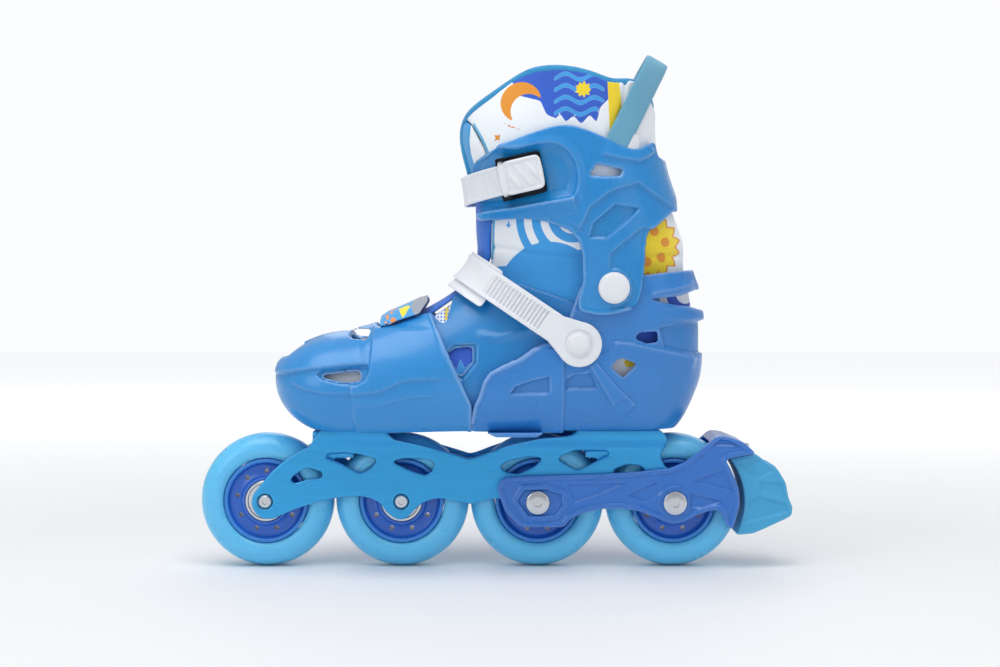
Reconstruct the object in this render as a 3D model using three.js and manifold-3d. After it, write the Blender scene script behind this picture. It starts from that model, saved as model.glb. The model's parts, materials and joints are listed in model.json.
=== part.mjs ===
// A child's adjustable inline skate, left foot, toe towards -X and outer side towards -Y.
// Millimetres, +Z up, wheels standing on Z = 0, origin under the middle of the overall length.
// The boot's skin is a loft through fan sections; every shell, pad and strap is a layer of that
// loft between two offsets, trimmed by outlines drawn in side view.
import * as THREE from "three";
import { mergeVertices } from "three/addons/utils/BufferGeometryUtils.js";
import Module from "manifold-3d";

const wasm = await Module();
wasm.setup();

// ---------------------------------------------------------------- driving dimensions
const GAP = 0.3; // clearance between two pieces that touch or nest
const WHEEL_D = 72;
const WHEEL_GAP = 1; // between neighbouring tyres
const TYRE_W = 24;
const HUB_R = 22.5; // outside of the hub, inside of the tyre
const BEARING_R = 11; // 608 bearing: 22 x 8 x 7
const BEARING_BORE_R = 4;
const BEARING_W = 7;
const SPACER_L = 10; // between the two bearings of a wheel
const AXLE_R = BEARING_BORE_R - 0.2;
const AXLE_HEAD_R = 6.5;
const AXLE_HEAD_T = 2.4;
const RAIL_T = 3; // wall of the frame's side rails
const RAIL_FLARE = 3.5; // how much further out each rail stands under the boot
const DECK_T = 5; // bridge between the rails that the sole rests on
const DECK_ABOVE_WHEEL = 3; // deck's top above the top of the wheels
const BRAKE_WALL = 4; // side walls of the brake arm
const BOOT_LENGTH = 230; // outside of the shell, toe to heel
const BOOT_HEIGHT = 185; // sole to the top of the padded collar
const BOOT_WIDTH = 92; // outside of the shell at the ball of the foot
const SHELL_T = 3; // toe and heel shell walls
const BASE_T = 2.3; // inner instep shell wall
const CUFF_T = 2.8;
const LINER_T = 4.5; // padded inner boot round the foot
const INSOLE_T = 4;
const STRAP_T = 2;
const TOE_TRAVEL = 18; // three sizes of growth
const CUFF_PIVOT_R = 8.2; // cap of the cuff's pivot rivet
const PIVOT_SHAFT_R = 4;
const FRAME_BOLT_R = 3;
const BOLT_HEAD_R = 6;

// ---------------------------------------------------------------- derived places
const WHEEL_R = WHEEL_D / 2;
const PITCH = WHEEL_D + WHEEL_GAP;
const AXLE_Z = WHEEL_R;
const WHEELBASE_MID_X = -16.2;
const AXLE_X = [0, 1, 2, 3].map((i) => WHEELBASE_MID_X + (i - 1.5) * PITCH);
const HUB_HALF = SPACER_L / 2 + BEARING_W; // outer face of a bearing
const RAIL_IN = HUB_HALF + 0.6;
const RAIL_OUT = RAIL_IN + RAIL_T;
const DECK_Z = WHEEL_D + DECK_ABOVE_WHEEL;
const SOLE_Z = DECK_Z + GAP;

// Outlines are drawn for the nominal skate, and these carry them to the real sizes.
const NOMINAL = { pitch: 73, axleZ: 36, deckZ: 75, length: 230, height: 185, width: 92, heelX: 0 };
const bx = (x) => (x * BOOT_LENGTH) / NOMINAL.length;
const bz = (z) => SOLE_Z + ((z - NOMINAL.deckZ - GAP) * BOOT_HEIGHT) / NOMINAL.height;
const bw = (w) => (w * BOOT_WIDTH) / NOMINAL.width;
const fx = (x) => WHEELBASE_MID_X + ((x - WHEELBASE_MID_X) * PITCH) / NOMINAL.pitch;
const fz = (z) =>
  z < NOMINAL.axleZ
    ? (z * AXLE_Z) / NOMINAL.axleZ
    : AXLE_Z + ((z - NOMINAL.axleZ) * (DECK_Z - AXLE_Z)) / (NOMINAL.deckZ - NOMINAL.axleZ);
const onBoot = (points) => points.map(([x, z]) => [bx(x), bz(z)]);
const onFrame = (points) => points.map(([x, z]) => [fx(x), fz(z)]);

// ---------------------------------------------------------------- solids
function solid(geometry) {
  const g = geometry.clone();
  g.deleteAttribute("normal");
  g.deleteAttribute("uv");
  const merged = mergeVertices(g, 1e-4);
  return closed(merged.attributes.position.array, merged.index.array);
}

// A solid from its corners and triangles, turned outside out if it was drawn inside out.
function closed(corners, faces) {
  const vertProperties = new Float32Array(corners);
  const triVerts = new Uint32Array(faces);
  const mesh = new wasm.Mesh({ numProp: 3, vertProperties, triVerts });
  const m = new wasm.Manifold(mesh);
  if (m.volume() > 0) return m;
  for (let i = 0; i < triVerts.length; i += 3)
    [triVerts[i + 1], triVerts[i + 2]] = [triVerts[i + 2], triVerts[i + 1]];
  return new wasm.Manifold(new wasm.Mesh({ numProp: 3, vertProperties, triVerts }));
}

function geometryOf(manifold) {
  const m = manifold.getMesh();
  return new THREE.BufferGeometry()
    .setAttribute("position", new THREE.BufferAttribute(new Float32Array(m.vertProperties), 3))
    .setIndex(new THREE.BufferAttribute(new Uint32Array(m.triVerts), 1));
}

const placed = (geometry, matrix) => solid(geometry.clone().applyMatrix4(matrix));
const moved = (geometry, x, y, z) => solid(geometry.clone().translate(x, y, z));
const union = (...parts) => parts.reduce((a, b) => a.add(b));
const block = (w, d, h, x, y, z) => moved(new THREE.BoxGeometry(w, d, h), x, y, z);

// A side-view outline, [x, z] points, thickened from y0 to y1.
function prism(points, y0, y1) {
  const shape = new THREE.Shape(points.map(([x, z]) => new THREE.Vector2(x, z)));
  const g = new THREE.ExtrudeGeometry(shape, { depth: y1 - y0, bevelEnabled: false });
  return solid(g.rotateX(Math.PI / 2).translate(0, y1, 0));
}

// A cylinder along Y.
function rod(r, y0, y1, x, z, sides = 20) {
  const g = new THREE.CylinderGeometry(r, r, y1 - y0, sides);
  return moved(g, x, (y0 + y1) / 2, z);
}

// A profile of [radius, y] points that closes on itself, turned about the Y axis through (x, z).
function ring(profile, x, z, sides) {
  const closed = [...profile, profile[0]].map(([r, y]) => new THREE.Vector2(r, y));
  const g = new THREE.LatheGeometry(closed, sides).rotateY(Math.PI / sides);
  return moved(g, x, 0, z);
}

// A smooth closed outline through the points.
function smooth(points, steps = 2) {
  const curve = new THREE.CatmullRomCurve3(
    points.map(([x, z]) => new THREE.Vector3(x, 0, z)),
    true,
  );
  return curve
    .getPoints(points.length * steps)
    .slice(0, -1)
    .map((p) => [p.x, p.z]);
}

// ---------------------------------------------------------------- the boot's loft
// Each section lies in a plane that fans round the ankle bend, from the instep or shin point
// `top` to the sole or heel point `low`, with its half width, the share of the way down at which
// it is widest, its squareness above and below that, and its sideways shift.
const SECTIONS = [
  { top: [-81, 127.3], low: [-81, 70], w: 43.5, at: 0.55, up: 2.2, down: 3, y: 2.4 },
  { top: [-59, 135], low: [-58, 70], w: 46, at: 0.58, up: 2.1, down: 3.2, y: 2.3 },
  { top: [-39, 144], low: [-32, 70], w: 46, at: 0.6, up: 2.1, down: 3.2, y: 2.2 },
  { top: [-24, 153.5], low: [-5, 70], w: 45.8, at: 0.6, up: 2.1, down: 3.2, y: 2.2 },
  { top: [-16, 162], low: [25, 70], w: 43, at: 0.58, up: 2.1, down: 3, y: 1.2 },
  { top: [-13.5, 171], low: [60, 70], w: 40.5, at: 0.52, up: 2.2, down: 2.8, y: 0.4 },
  { top: [-13, 179], low: [91, 72], w: 39, at: 0.5, up: 2.2, down: 2.6, y: 0 },
  { top: [-13, 189], low: [107, 98], w: 40, at: 0.5, up: 2.2, down: 2.4, y: 0 },
  { top: [-13.5, 198], low: [109.5, 122], w: 41, at: 0.5, up: 2.2, down: 2.3, y: 0 },
  { top: [-15, 208], low: [107.5, 146], w: 42, at: 0.48, up: 2.2, down: 2.3, y: 0 },
  { top: [-18, 219], low: [100, 172], w: 43, at: 0.47, up: 2.2, down: 2.3, y: 0 },
  { top: [-20.5, 230], low: [91.5, 196], w: 44, at: 0.47, up: 2.2, down: 2.3, y: 0 },
  { top: [-19.5, 243], low: [85.5, 220], w: 44, at: 0.47, up: 2.2, down: 2.3, y: 0 },
  { top: [-14, 257], low: [84, 240], w: 43.5, at: 0.47, up: 2.2, down: 2.3, y: 0 },
  { top: [-7, 274], low: [86, 262], w: 43, at: 0.47, up: 2.2, down: 2.3, y: 0 },
];
const NOSE = { x: -121.2, z: 104.3, up: 1.9, down: 2.4, w: 2.4 };
const NOSE_STEPS = 4;
const LOFT_STEPS = 14;
const LOFT_SIDES = 18;

const catmull = (rows) => new THREE.CatmullRomCurve3(rows, false, "catmullrom", 0.5);
const CURVES = {
  top: catmull(SECTIONS.map((s) => new THREE.Vector3(bx(s.top[0]), bz(s.top[1]), bw(s.w)))),
  low: catmull(SECTIONS.map((s) => new THREE.Vector3(bx(s.low[0]), bz(s.low[1]), s.at))),
  form: catmull(SECTIONS.map((s) => new THREE.Vector3(s.up, s.down, s.y))),
};

function sectionAt(u) {
  const top = CURVES.top.getPoint(u);
  const low = CURVES.low.getPoint(u);
  const form = CURVES.form.getPoint(u);
  return { ax: top.x, az: top.y, w: top.z, bx: low.x, bz: low.y, at: low.z, up: form.x, down: form.y, y: form.z };
}

// One point of a section grown outwards by d; angle 0 is at its top and pi at its low point.
function sectionPoint(s, angle, d, shrink = { up: 1, down: 1, w: 1 }) {
  const dx = s.bx - s.ax;
  const dz = s.bz - s.az;
  const long = Math.hypot(dx, dz);
  const c = Math.cos(angle);
  const k = Math.sin(angle);
  const power = c > 0 ? s.up : s.down;
  const reach = c > 0 ? (long * s.at + d) * shrink.up : (long * (1 - s.at) + d) * shrink.down;
  const along = long * s.at - Math.sign(c) * reach * Math.abs(c) ** (2 / power);
  const side = Math.sign(k) * (s.w + d) * shrink.w * Math.abs(k) ** (2 / power);
  return [s.ax + (dx / long) * along, s.y + side, s.az + (dz / long) * along];
}

function loftRing(i, angle, d) {
  if (i > NOSE_STEPS) {
    const u = (i - NOSE_STEPS) / LOFT_STEPS;
    return sectionPoint(sectionAt(u), angle, d);
  }
  const s = sectionAt(0);
  const phi = ((i / NOSE_STEPS) * Math.PI) / 2;
  const c = Math.cos(phi);
  const shrink = (p) => Math.max(0, 1 - c ** p) ** (1 / p);
  const centre = (s.az - bz(NOSE.z)) / (s.az - s.bz);
  const here = { ...s, at: centre + (s.at - centre) * shrink(NOSE.w) };
  const p = sectionPoint(here, angle, d, { up: shrink(NOSE.up), down: shrink(NOSE.down), w: shrink(NOSE.w) });
  const reach = s.ax - bx(NOSE.x) + d;
  return [p[0] - reach * c, p[1], p[2]];
}

const lofts = new Map();
// The boot's whole volume, grown outwards by d (inwards if negative), with a flat sole.
function body(d) {
  if (lofts.has(d)) return lofts.get(d);
  const rings = NOSE_STEPS + LOFT_STEPS;
  const points = [loftRing(0, 0, d)];
  for (let i = 1; i <= rings; i++)
    for (let j = 0; j < LOFT_SIDES; j++) points.push(loftRing(i, (j / LOFT_SIDES) * 2 * Math.PI, d));
  const at = (i, j) => (i === 0 ? 0 : 1 + (i - 1) * LOFT_SIDES + (j % LOFT_SIDES));
  const faces = [];
  for (let i = 0; i < rings; i++)
    for (let j = 0; j < LOFT_SIDES; j++) {
      if (i > 0) faces.push(at(i, j), at(i, j + 1), at(i + 1, j));
      faces.push(at(i, j + 1), at(i + 1, j + 1), at(i + 1, j));
    }
  for (let j = 1; j < LOFT_SIDES - 1; j++) faces.push(at(rings, 0), at(rings, j), at(rings, j + 1));
  const floor = SOLE_Z - d;
  const cut = closed(points.flat(), faces).subtract(block(600, 300, 200, 0, 0, floor - 100));
  lofts.set(d, cut);
  return cut;
}

const WIDE = 120; // further out than any piece, for outlines that go right through
const through = (points) => prism(onBoot(points), -WIDE, WIDE);
const layer = (inner, outer) => body(outer).subtract(body(inner));

// The skin's y at a side-view point, on one side (-1 outer, 1 inner), grown by d.
function skinY(x, z, d, side) {
  const box = body(d).intersect(rod(0.2, -WIDE, WIDE, x, z, 4)).boundingBox();
  return side < 0 ? box.min[1] : box.max[1];
}
// The furthest and the nearest the skin comes from the middle inside a disc.
function outermost(x, z, d, r, side) {
  const box = body(d).intersect(rod(r, Math.min(0, side * WIDE), Math.max(0, side * WIDE), x, z)).boundingBox();
  return side < 0 ? box.min[1] : box.max[1];
}
function innermost(x, z, d, r, side) {
  const whole = rod(r, Math.min(0, side * WIDE), Math.max(0, side * WIDE), x, z);
  const box = whole.subtract(body(d)).boundingBox();
  return side < 0 ? box.max[1] : box.min[1];
}

// A cylinder between two points.
function bar(p, q, r, sides = 12) {
  const a = new THREE.Vector3(...p);
  const b = new THREE.Vector3(...q);
  const g = new THREE.CylinderGeometry(r, r, a.distanceTo(b), sides);
  const turn = new THREE.Quaternion().setFromUnitVectors(
    new THREE.Vector3(0, 1, 0),
    b.clone().sub(a).normalize(),
  );
  return placed(g, new THREE.Matrix4().compose(a.clone().add(b).multiplyScalar(0.5), turn, new THREE.Vector3(1, 1, 1)));
}

// A flat band between two edge lines, t thick.
function ribbon(left, right, t) {
  const count = left.length;
  const v = (p) => new THREE.Vector3(...p);
  const points = [];
  for (let i = 0; i < count; i++) {
    const along = v(left[Math.min(i + 1, count - 1)]).sub(v(left[Math.max(i - 1, 0)]));
    const normal = v(right[i]).sub(v(left[i])).cross(along).normalize().multiplyScalar(t / 2);
    points.push(v(left[i]).sub(normal), v(right[i]).sub(normal), v(right[i]).add(normal), v(left[i]).add(normal));
  }
  const faces = [0, 1, 2, 0, 2, 3];
  for (let i = 0; i < count - 1; i++)
    for (let j = 0; j < 4; j++) {
      const a = 4 * i + j;
      const b = 4 * i + ((j + 1) % 4);
      faces.push(a, a + 4, b, b, a + 4, b + 4);
    }
  const e = 4 * (count - 1);
  faces.push(e, e + 2, e + 1, e, e + 3, e + 2);
  return closed(points.flatMap((p) => [p.x, p.y, p.z]), faces);
}

// ---------------------------------------------------------------- the group
const skate = new THREE.Group();
skate.name = "inline_skate";
const PAINT = {
  toe_plastic: [0x4a9be6, 0.35, 0],
  boot_plastic: [0x3a86d6, 0.35, 0],
  heel_plastic: [0x3f78d0, 0.35, 0],
  white_plastic: [0xe9edf2, 0.4, 0],
  liner_fabric: [0xdfe9f2, 0.9, 0],
  tongue_fabric: [0x2f8fd8, 0.9, 0],
  insole_foam: [0x2b3a55, 0.95, 0],
  webbing: [0x35a2d2, 0.9, 0],
  printed_strap: [0x3fa0dd, 0.85, 0],
  frame_metal: [0x2f8ee0, 0.3, 0.8],
  tyre: [0xbfe2f5, 0.4, 0],
  hub_plastic: [0x2457c4, 0.35, 0],
  steel: [0xb9bec4, 0.25, 1],
  brake_plastic: [0x1f5fd0, 0.2, 0],
  brake_rubber: [0x2f86b8, 0.7, 0],
};
function add(name, paint, manifold) {
  const [color, roughness, metalness] = PAINT[paint];
  const mesh = new THREE.Mesh(
    geometryOf(manifold),
    new THREE.MeshStandardMaterial({ name: paint, color, roughness, metalness }),
  );
  mesh.name = name;
  skate.add(mesh);
}

// ---------------------------------------------------------------- wheels and axles
const WHEEL_SIDES = 24;
const FACET = Math.cos(Math.PI / WHEEL_SIDES); // a flat facet of the tread stands on the ground
const TYRE_PROFILE = [
  [HUB_R + GAP, -9.6],
  [26, -TYRE_W / 2 + 0.4],
  [29.5, -TYRE_W / 2 + 0.6],
  [32.8, -9.6],
  [34.9, -6.4],
  [WHEEL_R, -2.8],
];
const HUB_PROFILE = [
  [HUB_R, -9.6],
  [19.8, -9.6],
  [18.4, -7.2],
  [13.6, -7.6],
  [12.9, -HUB_HALF],
  [BEARING_R + GAP, -HUB_HALF],
  [BEARING_R + GAP, -SPACER_L / 2 + 0.3],
  [8.6, -SPACER_L / 2 + 0.3],
];
const wheelRadius = WHEEL_R / NOMINAL.axleZ;
const mirrored = (profile) => [...profile, ...profile.map(([r, y]) => [r, -y]).reverse()];
const tyreProfile = mirrored(TYRE_PROFILE.map(([r, y], i) => [(i ? r * wheelRadius : r) / FACET, y]));
const VENTS = 9;
const VENT_R = 1.3;
const VENT_CIRCLE_R = 16;

function bearing(y0, x) {
  const profile = [
    [BEARING_BORE_R, y0],
    [BEARING_R, y0],
    [BEARING_R, y0 + BEARING_W],
    [BEARING_BORE_R, y0 + BEARING_W],
  ];
  return ring(profile, x, AXLE_Z, 16);
}

const ARM_IN = RAIL_OUT + 0.4;
const ARM_OUT = ARM_IN + BRAKE_WALL;
const ARM_POCKET_DEPTH = 1.8;

AXLE_X.forEach((x, i) => {
  const n = i + 1;
  add(`tyre_${n}`, "tyre", ring(tyreProfile, x, AXLE_Z, WHEEL_SIDES));
  let hub = ring(mirrored(HUB_PROFILE), x, AXLE_Z, WHEEL_SIDES);
  for (let k = 0; k < VENTS; k++) {
    const a = (k / VENTS) * 2 * Math.PI + Math.PI / 2;
    const hole = rod(VENT_R, -HUB_HALF, HUB_HALF, x + VENT_CIRCLE_R * Math.cos(a), AXLE_Z + VENT_CIRCLE_R * Math.sin(a), 4);
    hub = hub.subtract(hole);
  }
  add(`hub_${n}`, "hub_plastic", hub);
  add(`bearing_${n}_outer`, "steel", bearing(-HUB_HALF, x));
  add(`bearing_${n}_inner`, "steel", bearing(HUB_HALF - BEARING_W, x));
  const tube = [
    [BEARING_BORE_R, GAP / 2 - SPACER_L / 2],
    [5.6, GAP / 2 - SPACER_L / 2],
    [5.6, SPACER_L / 2 - GAP / 2],
    [BEARING_BORE_R, SPACER_L / 2 - GAP / 2],
  ];
  add(`spacer_${n}`, "steel", ring(tube, x, AXLE_Z, 12));
  // The front axles are put in from the inner side, the rear two from the outer side through the
  // brake arm; the head of the third sinks in the arm's pocket.
  const rear = i > 1;
  const seat = i === 2 ? ARM_OUT - ARM_POCKET_DEPTH + GAP : rear ? ARM_OUT + GAP : RAIL_OUT + GAP;
  const tip = rear ? ARM_OUT : RAIL_OUT;
  const sign = rear ? -1 : 1;
  const shaft = rod(AXLE_R, Math.min(sign * seat, -sign * tip), Math.max(sign * seat, -sign * tip), x, AXLE_Z, 12);
  const far = seat + AXLE_HEAD_T;
  let head = rod(AXLE_HEAD_R, Math.min(sign * seat, sign * far), Math.max(sign * seat, sign * far), x, AXLE_Z, 20);
  const socket = [sign * (far - 1.8), sign * (far + 1)];
  head = head.subtract(rod(2.3, Math.min(...socket), Math.max(...socket), x, AXLE_Z, 6));
  add(`axle_${n}`, "steel", shaft.add(head));
});

// ---------------------------------------------------------------- frame
const RAIL_OUTLINE = [
  [-95.3, 75], [-99, 70.4], [-101.7, 65.6], [-106.4, 63.5], [-111.8, 60.3], [-117.1, 56.6],
  [-122.4, 51.8], [-126.7, 46.5], [-132, 40.1], [-133.1, 34.7], [-131, 29.9], [-126.7, 26.7],
  [-121.4, 26.7], [-114.4, 29.9], [-106.4, 33.1], [-95.8, 36.3], [-85.1, 38.5], [-74.5, 39],
  [-69.1, 37.9], [-63.8, 35.3], [-61.1, 31], [-56.9, 27.3], [-53.1, 26.2], [-49.4, 27.3],
  [-45.1, 32.1], [-41.4, 35.3], [-36.1, 37.4], [-30.8, 37.9], [-23.8, 36.3], [-15.8, 34.7],
  [-8.9, 36.3], [-1.4, 37.9], [4, 37], [9, 34.7], [13, 31], [16.5, 27.3], [20.3, 26.2],
  [24, 27.3], [28, 31], [33, 35.3], [42, 38], [56.8, 39], [71, 38], [80, 35.3], [85.5, 31],
  [89.5, 27.3], [93.3, 26.2], [98, 27.5], [102, 31.5], [103.5, 38], [100, 46], [93, 51.5],
  [88, 55.5], [85.8, 60.8], [87.5, 64], [89.7, 67.8], [88.7, 71.5], [85.5, 75], [41.7, 75],
  [39.1, 72.6], [34.8, 71.5], [21.5, 70.4], [5.5, 66.7], [-5.2, 63], [-12.1, 60.3],
  [-16.4, 59.2], [-21.2, 60.8], [-31.8, 64], [-47.8, 67.8], [-56.9, 69.9], [-61.1, 75],
];
const RAIL_WINDOWS = [
  [[-111.8, 47], [-111.2, 49.1], [-106.4, 52.8], [-102.2, 54.4], [-94.7, 51.8], [-95.3, 48.6], [-102.2, 48.1], [-109.6, 45.9]],
  [[-93.1, 59.8], [-92.1, 61.9], [-82.5, 62.4], [-74.5, 61.4], [-65.4, 58.7], [-68.1, 54.4], [-74.5, 51.3], [-85.1, 56.6]],
  [[-57.9, 57.6], [-52.1, 59.2], [-39.8, 59.2], [-34.5, 57.1], [-36.1, 52.3], [-39.8, 50.2], [-47.8, 52.8]],
  [[0.2, 54.4], [1.8, 56.6], [8.2, 58.7], [16.2, 60.3], [23.1, 59.2], [18.8, 55], [9.8, 50.7], [3.4, 51.8]],
  [[31.1, 58.7], [33.2, 60.8], [40.1, 63.5], [57.2, 63.5], [59.3, 61.4], [48.1, 56], [41.7, 52.8], [39.1, 53.9]],
  [[60.4, 52.3], [64.1, 54.4], [68.4, 56], [76, 55], [79, 50], [72, 47.5], [64, 48.5]],
];
const FRONT_BOLT_X = (AXLE_X[0] + AXLE_X[1]) / 2;
const REAR_BOLT_X = (AXLE_X[2] + AXLE_X[3]) / 2;
const DECK_HALF_Y = RAIL_OUT + RAIL_FLARE;
const WHEEL_CLEAR = 1.5;
const BOLT_SEAT_Z = DECK_Z - 9;

let frame = prism(onFrame(RAIL_OUTLINE), -RAIL_OUT, -RAIL_IN);
frame = union(frame, prism(onFrame(RAIL_OUTLINE), RAIL_IN, RAIL_OUT));
for (const outline of RAIL_WINDOWS) frame = frame.subtract(prism(onFrame(outline), -RAIL_OUT - 1, RAIL_OUT + 1));
const deckBlock = (x0, x1, y, z0, z1) => block(fx(x1) - fx(x0), 2 * y, z1 - z0, (fx(x0) + fx(x1)) / 2, 0, (z0 + z1) / 2);
frame = union(
  frame,
  deckBlock(-95.3, -61.1, DECK_HALF_Y, DECK_Z - DECK_T + 1.2, DECK_Z),
  deckBlock(41.7, 85.5, DECK_HALF_Y, DECK_Z - DECK_T + 1.2, DECK_Z),
  deckBlock(-100, -78, RAIL_IN + 0.5, DECK_Z - 16, DECK_Z - 1),
  deckBlock(46, 68, RAIL_IN + 0.5, DECK_Z - 16, DECK_Z - 1),
  deckBlock(-23, -9.5, RAIL_IN + 0.5, DECK_Z - 26, DECK_Z - 17.5),
);
for (const x of AXLE_X) {
  frame = frame.subtract(rod(WHEEL_R + WHEEL_CLEAR, -RAIL_IN, RAIL_IN, x, AXLE_Z, 28));
  frame = frame.subtract(rod(AXLE_R + GAP, -RAIL_OUT - 1, RAIL_OUT + 1, x, AXLE_Z, 12));
}
const upright = (r, z0, z1, x, sides = 16) =>
  moved(new THREE.CylinderGeometry(r, r, z1 - z0, sides).rotateX(Math.PI / 2), x, 0, (z0 + z1) / 2);
for (const x of [FRONT_BOLT_X, REAR_BOLT_X]) {
  frame = frame.subtract(upright(FRAME_BOLT_R + GAP, DECK_Z - 30, DECK_Z + 1, x));
  frame = frame.subtract(upright(BOLT_HEAD_R + GAP, DECK_Z - 30, BOLT_SEAT_Z, x));
}
add("frame_chassis", "frame_metal", frame);

const BASE_OUT = -(SHELL_T + 0.8); // inner shell's outer face, below the skin
const BASE_IN = BASE_OUT - BASE_T + 0.1;
const boltTop = SOLE_Z - BASE_IN - 0.2;
const bolt = (x) =>
  union(
    upright(FRAME_BOLT_R, BOLT_SEAT_Z - 1, boltTop, x),
    upright(BOLT_HEAD_R, BOLT_SEAT_Z - GAP - 3, BOLT_SEAT_Z - GAP, x).subtract(
      upright(2.5, BOLT_SEAT_Z - 5, BOLT_SEAT_Z - 1.8, x, 6),
    ),
  );
add("frame_bolt_front", "steel", bolt(FRONT_BOLT_X));
add("frame_bolt_rear", "steel", bolt(REAR_BOLT_X));

// ---------------------------------------------------------------- heel brake
const ARM_OUTLINE = [
  [-1.4, 43.2], [0.2, 47.4], [3.3, 49.6], [10.8, 50.1], [53.2, 51.2], [74.5, 52.7], [90.4, 54.3],
  [98.3, 57.5], [106.3, 63.4], [111.6, 68.1], [115.9, 71.9], [122.2, 71.3], [130.2, 68.1],
  [136.6, 62.3], [122.2, 59.6], [120.6, 58.1], [124.4, 51.2], [127.5, 43.2], [128.1, 35.2],
  [126, 27.3], [124.4, 22], [121.2, 23], [119, 28.3], [116.9, 32], [112.7, 32], [106.3, 29.9],
  [98.3, 25.7], [91.4, 25.1], [85.1, 27.3], [74.5, 31.5], [63.8, 33.1], [53.2, 32.6],
  [42.6, 29.9], [37.3, 27.3], [34.7, 23], [10.8, 23], [2.8, 31.5],
];
const ARM_BRIDGE = [
  [104, 58.5], [111.6, 68.1], [115.9, 71.9], [122.2, 71.3], [130.2, 68.1], [136.6, 62.3], [122.2, 59.6],
];
const ARM_POCKET = [
  [9.2, 36.8], [12.9, 42.9], [24, 43.4], [33.1, 40.5], [33.6, 34.7], [29.9, 29.5], [24, 28.6], [15.2, 28.6],
];
const PAD_OUTLINE = [
  [120, 57.8], [122.2, 59], [135.8, 61.6], [138.4, 60.8], [143.5, 56.5], [147.2, 55.4], [149.8, 52.2],
  [153.6, 45.8], [155.1, 37.9], [157.3, 32.6], [156.7, 28.3], [154.1, 26.7], [143.5, 22],
  [135.5, 18.8], [126, 18.2], [120, 24],
];
const PAD_HALF_Y = ARM_IN - 0.5;
const PAD_SCREW_X = fx(131.5);
const PAD_SCREW_SEAT = fz(63.6);

let arm = union(
  prism(onFrame(ARM_OUTLINE), -ARM_OUT, -ARM_IN),
  prism(onFrame(ARM_OUTLINE), ARM_IN, ARM_OUT),
  prism(onFrame(ARM_BRIDGE), -ARM_IN - 1, ARM_IN + 1),
);
for (const side of [-1, 1]) {
  const face = side * (ARM_OUT - ARM_POCKET_DEPTH);
  const span = [Math.min(face, side * 40), Math.max(face, side * 40)];
  arm = arm.subtract(prism(onFrame(ARM_POCKET), ...span)).subtract(rod(AXLE_HEAD_R + GAP, ...span, AXLE_X[2], AXLE_Z));
}
arm = arm.subtract(rod(WHEEL_R + WHEEL_CLEAR, -ARM_IN + 0.1, ARM_IN - 0.1, AXLE_X[3], AXLE_Z, 28));
for (const x of [AXLE_X[2], AXLE_X[3]]) arm = arm.subtract(rod(AXLE_R + GAP, -ARM_OUT - 1, ARM_OUT + 1, x, AXLE_Z, 16));
arm = arm.subtract(upright(2.5 + GAP, PAD_SCREW_SEAT - 20, PAD_SCREW_SEAT + 9, PAD_SCREW_X));
arm = arm.subtract(upright(4.6, PAD_SCREW_SEAT, PAD_SCREW_SEAT + 12, PAD_SCREW_X));
add("brake_arm", "brake_plastic", arm);

const pad = prism(onFrame(PAD_OUTLINE), -PAD_HALF_Y, PAD_HALF_Y)
  .subtract(rod(WHEEL_R + WHEEL_CLEAR + 0.3, -PAD_HALF_Y - 1, PAD_HALF_Y + 1, AXLE_X[3], AXLE_Z, 28))
  .subtract(upright(2.5 + GAP, fz(51), PAD_SCREW_SEAT + 5, PAD_SCREW_X));
add("brake_pad", "brake_rubber", pad);
add(
  "brake_pad_screw",
  "steel",
  union(
    upright(2.5, fz(51) + GAP, PAD_SCREW_SEAT + 1, PAD_SCREW_X),
    upright(4.2, PAD_SCREW_SEAT + GAP, PAD_SCREW_SEAT + GAP + 2.2, PAD_SCREW_X).subtract(
      upright(1.8, PAD_SCREW_SEAT + GAP + 0.8, PAD_SCREW_SEAT + 5, PAD_SCREW_X, 6),
    ),
  ),
);

// ---------------------------------------------------------------- boot shells
const TOE_OUTLINE = [
  [-135, 60], [-135, 150], [-67, 150], [-66, 129.8], [-62, 129.3], [-42, 136.5], [-36.1, 137.5],
  [-30.9, 123.6], [-25.8, 112.2], [-20.6, 101.3], [-14.9, 89.4], [-14.9, 60],
];
const TOE_WINDOW = [[-92, 107.2], [-74, 107], [-73, 102.8], [-90, 103.2]];
const TOE_NOTCH = [[-80, 124.5], [-76, 127.7], [-69, 127.7], [-68.5, 124]];
const TOE_SLOT = [[-95, 109.6], [-71.2, 109], [-70.6, 100.8], [-93, 101.4]];
const HEEL_OUTLINE = [
  [-14.6, 60], [-14.6, 81.2], [-13.1, 88.9], [-10.8, 93.6], [-8.2, 101.8], [-5.1, 106], [0.1, 108],
  [10.4, 112.2], [16.6, 117.4], [20.8, 120.5], [27.5, 121.5], [34.2, 126.1], [36.3, 134.9],
  [41.5, 149.4], [46, 157], [55, 161], [68, 160], [75.6, 157.2], [100.4, 161.3], [125, 161.3],
  [125, 150.5], [94.4, 147.5], [76.3, 145.2], [97, 140.4], [125, 138.6], [125, 60],
];
const HEEL_POCKETS = [
  [[5.3, 94.6], [6.8, 98.2], [13, 100.8], [24.9, 103.4], [25.4, 96.2]],
  [[34.2, 103.9], [47.7, 106], [51.8, 98.7], [34.2, 97.2]],
];
const HEEL_WINDOWS = [
  [[70.9, 124.1], [73, 127.2], [82.3, 127.7], [82.3, 121], [77.6, 121]],
  [[57.5, 110.1], [62.1, 114.3], [68.3, 112.7], [72, 111.2], [63.7, 102.9]],
];
const BASE_OUTLINE = [
  [-100, 60], [-100, 106], [-84, 112], [-66, 120.5], [-37.7, 135.5], [-19, 148.5], [-12, 153.5], [10, 153],
  [36, 144], [48, 138], [70, 138], [80, 150], [125, 150], [125, 60],
];
const BASE_WINDOWS = [
  [[-35.5, 139], [-24, 147], [-26.3, 142], [-27.3, 132.9], [-33, 133.4]],
  [[-27, 116.3], [-22.7, 119.4], [-14.4, 119.4], [-14.4, 111], [-20.6, 104.8], [-23, 108]],
];
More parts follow.
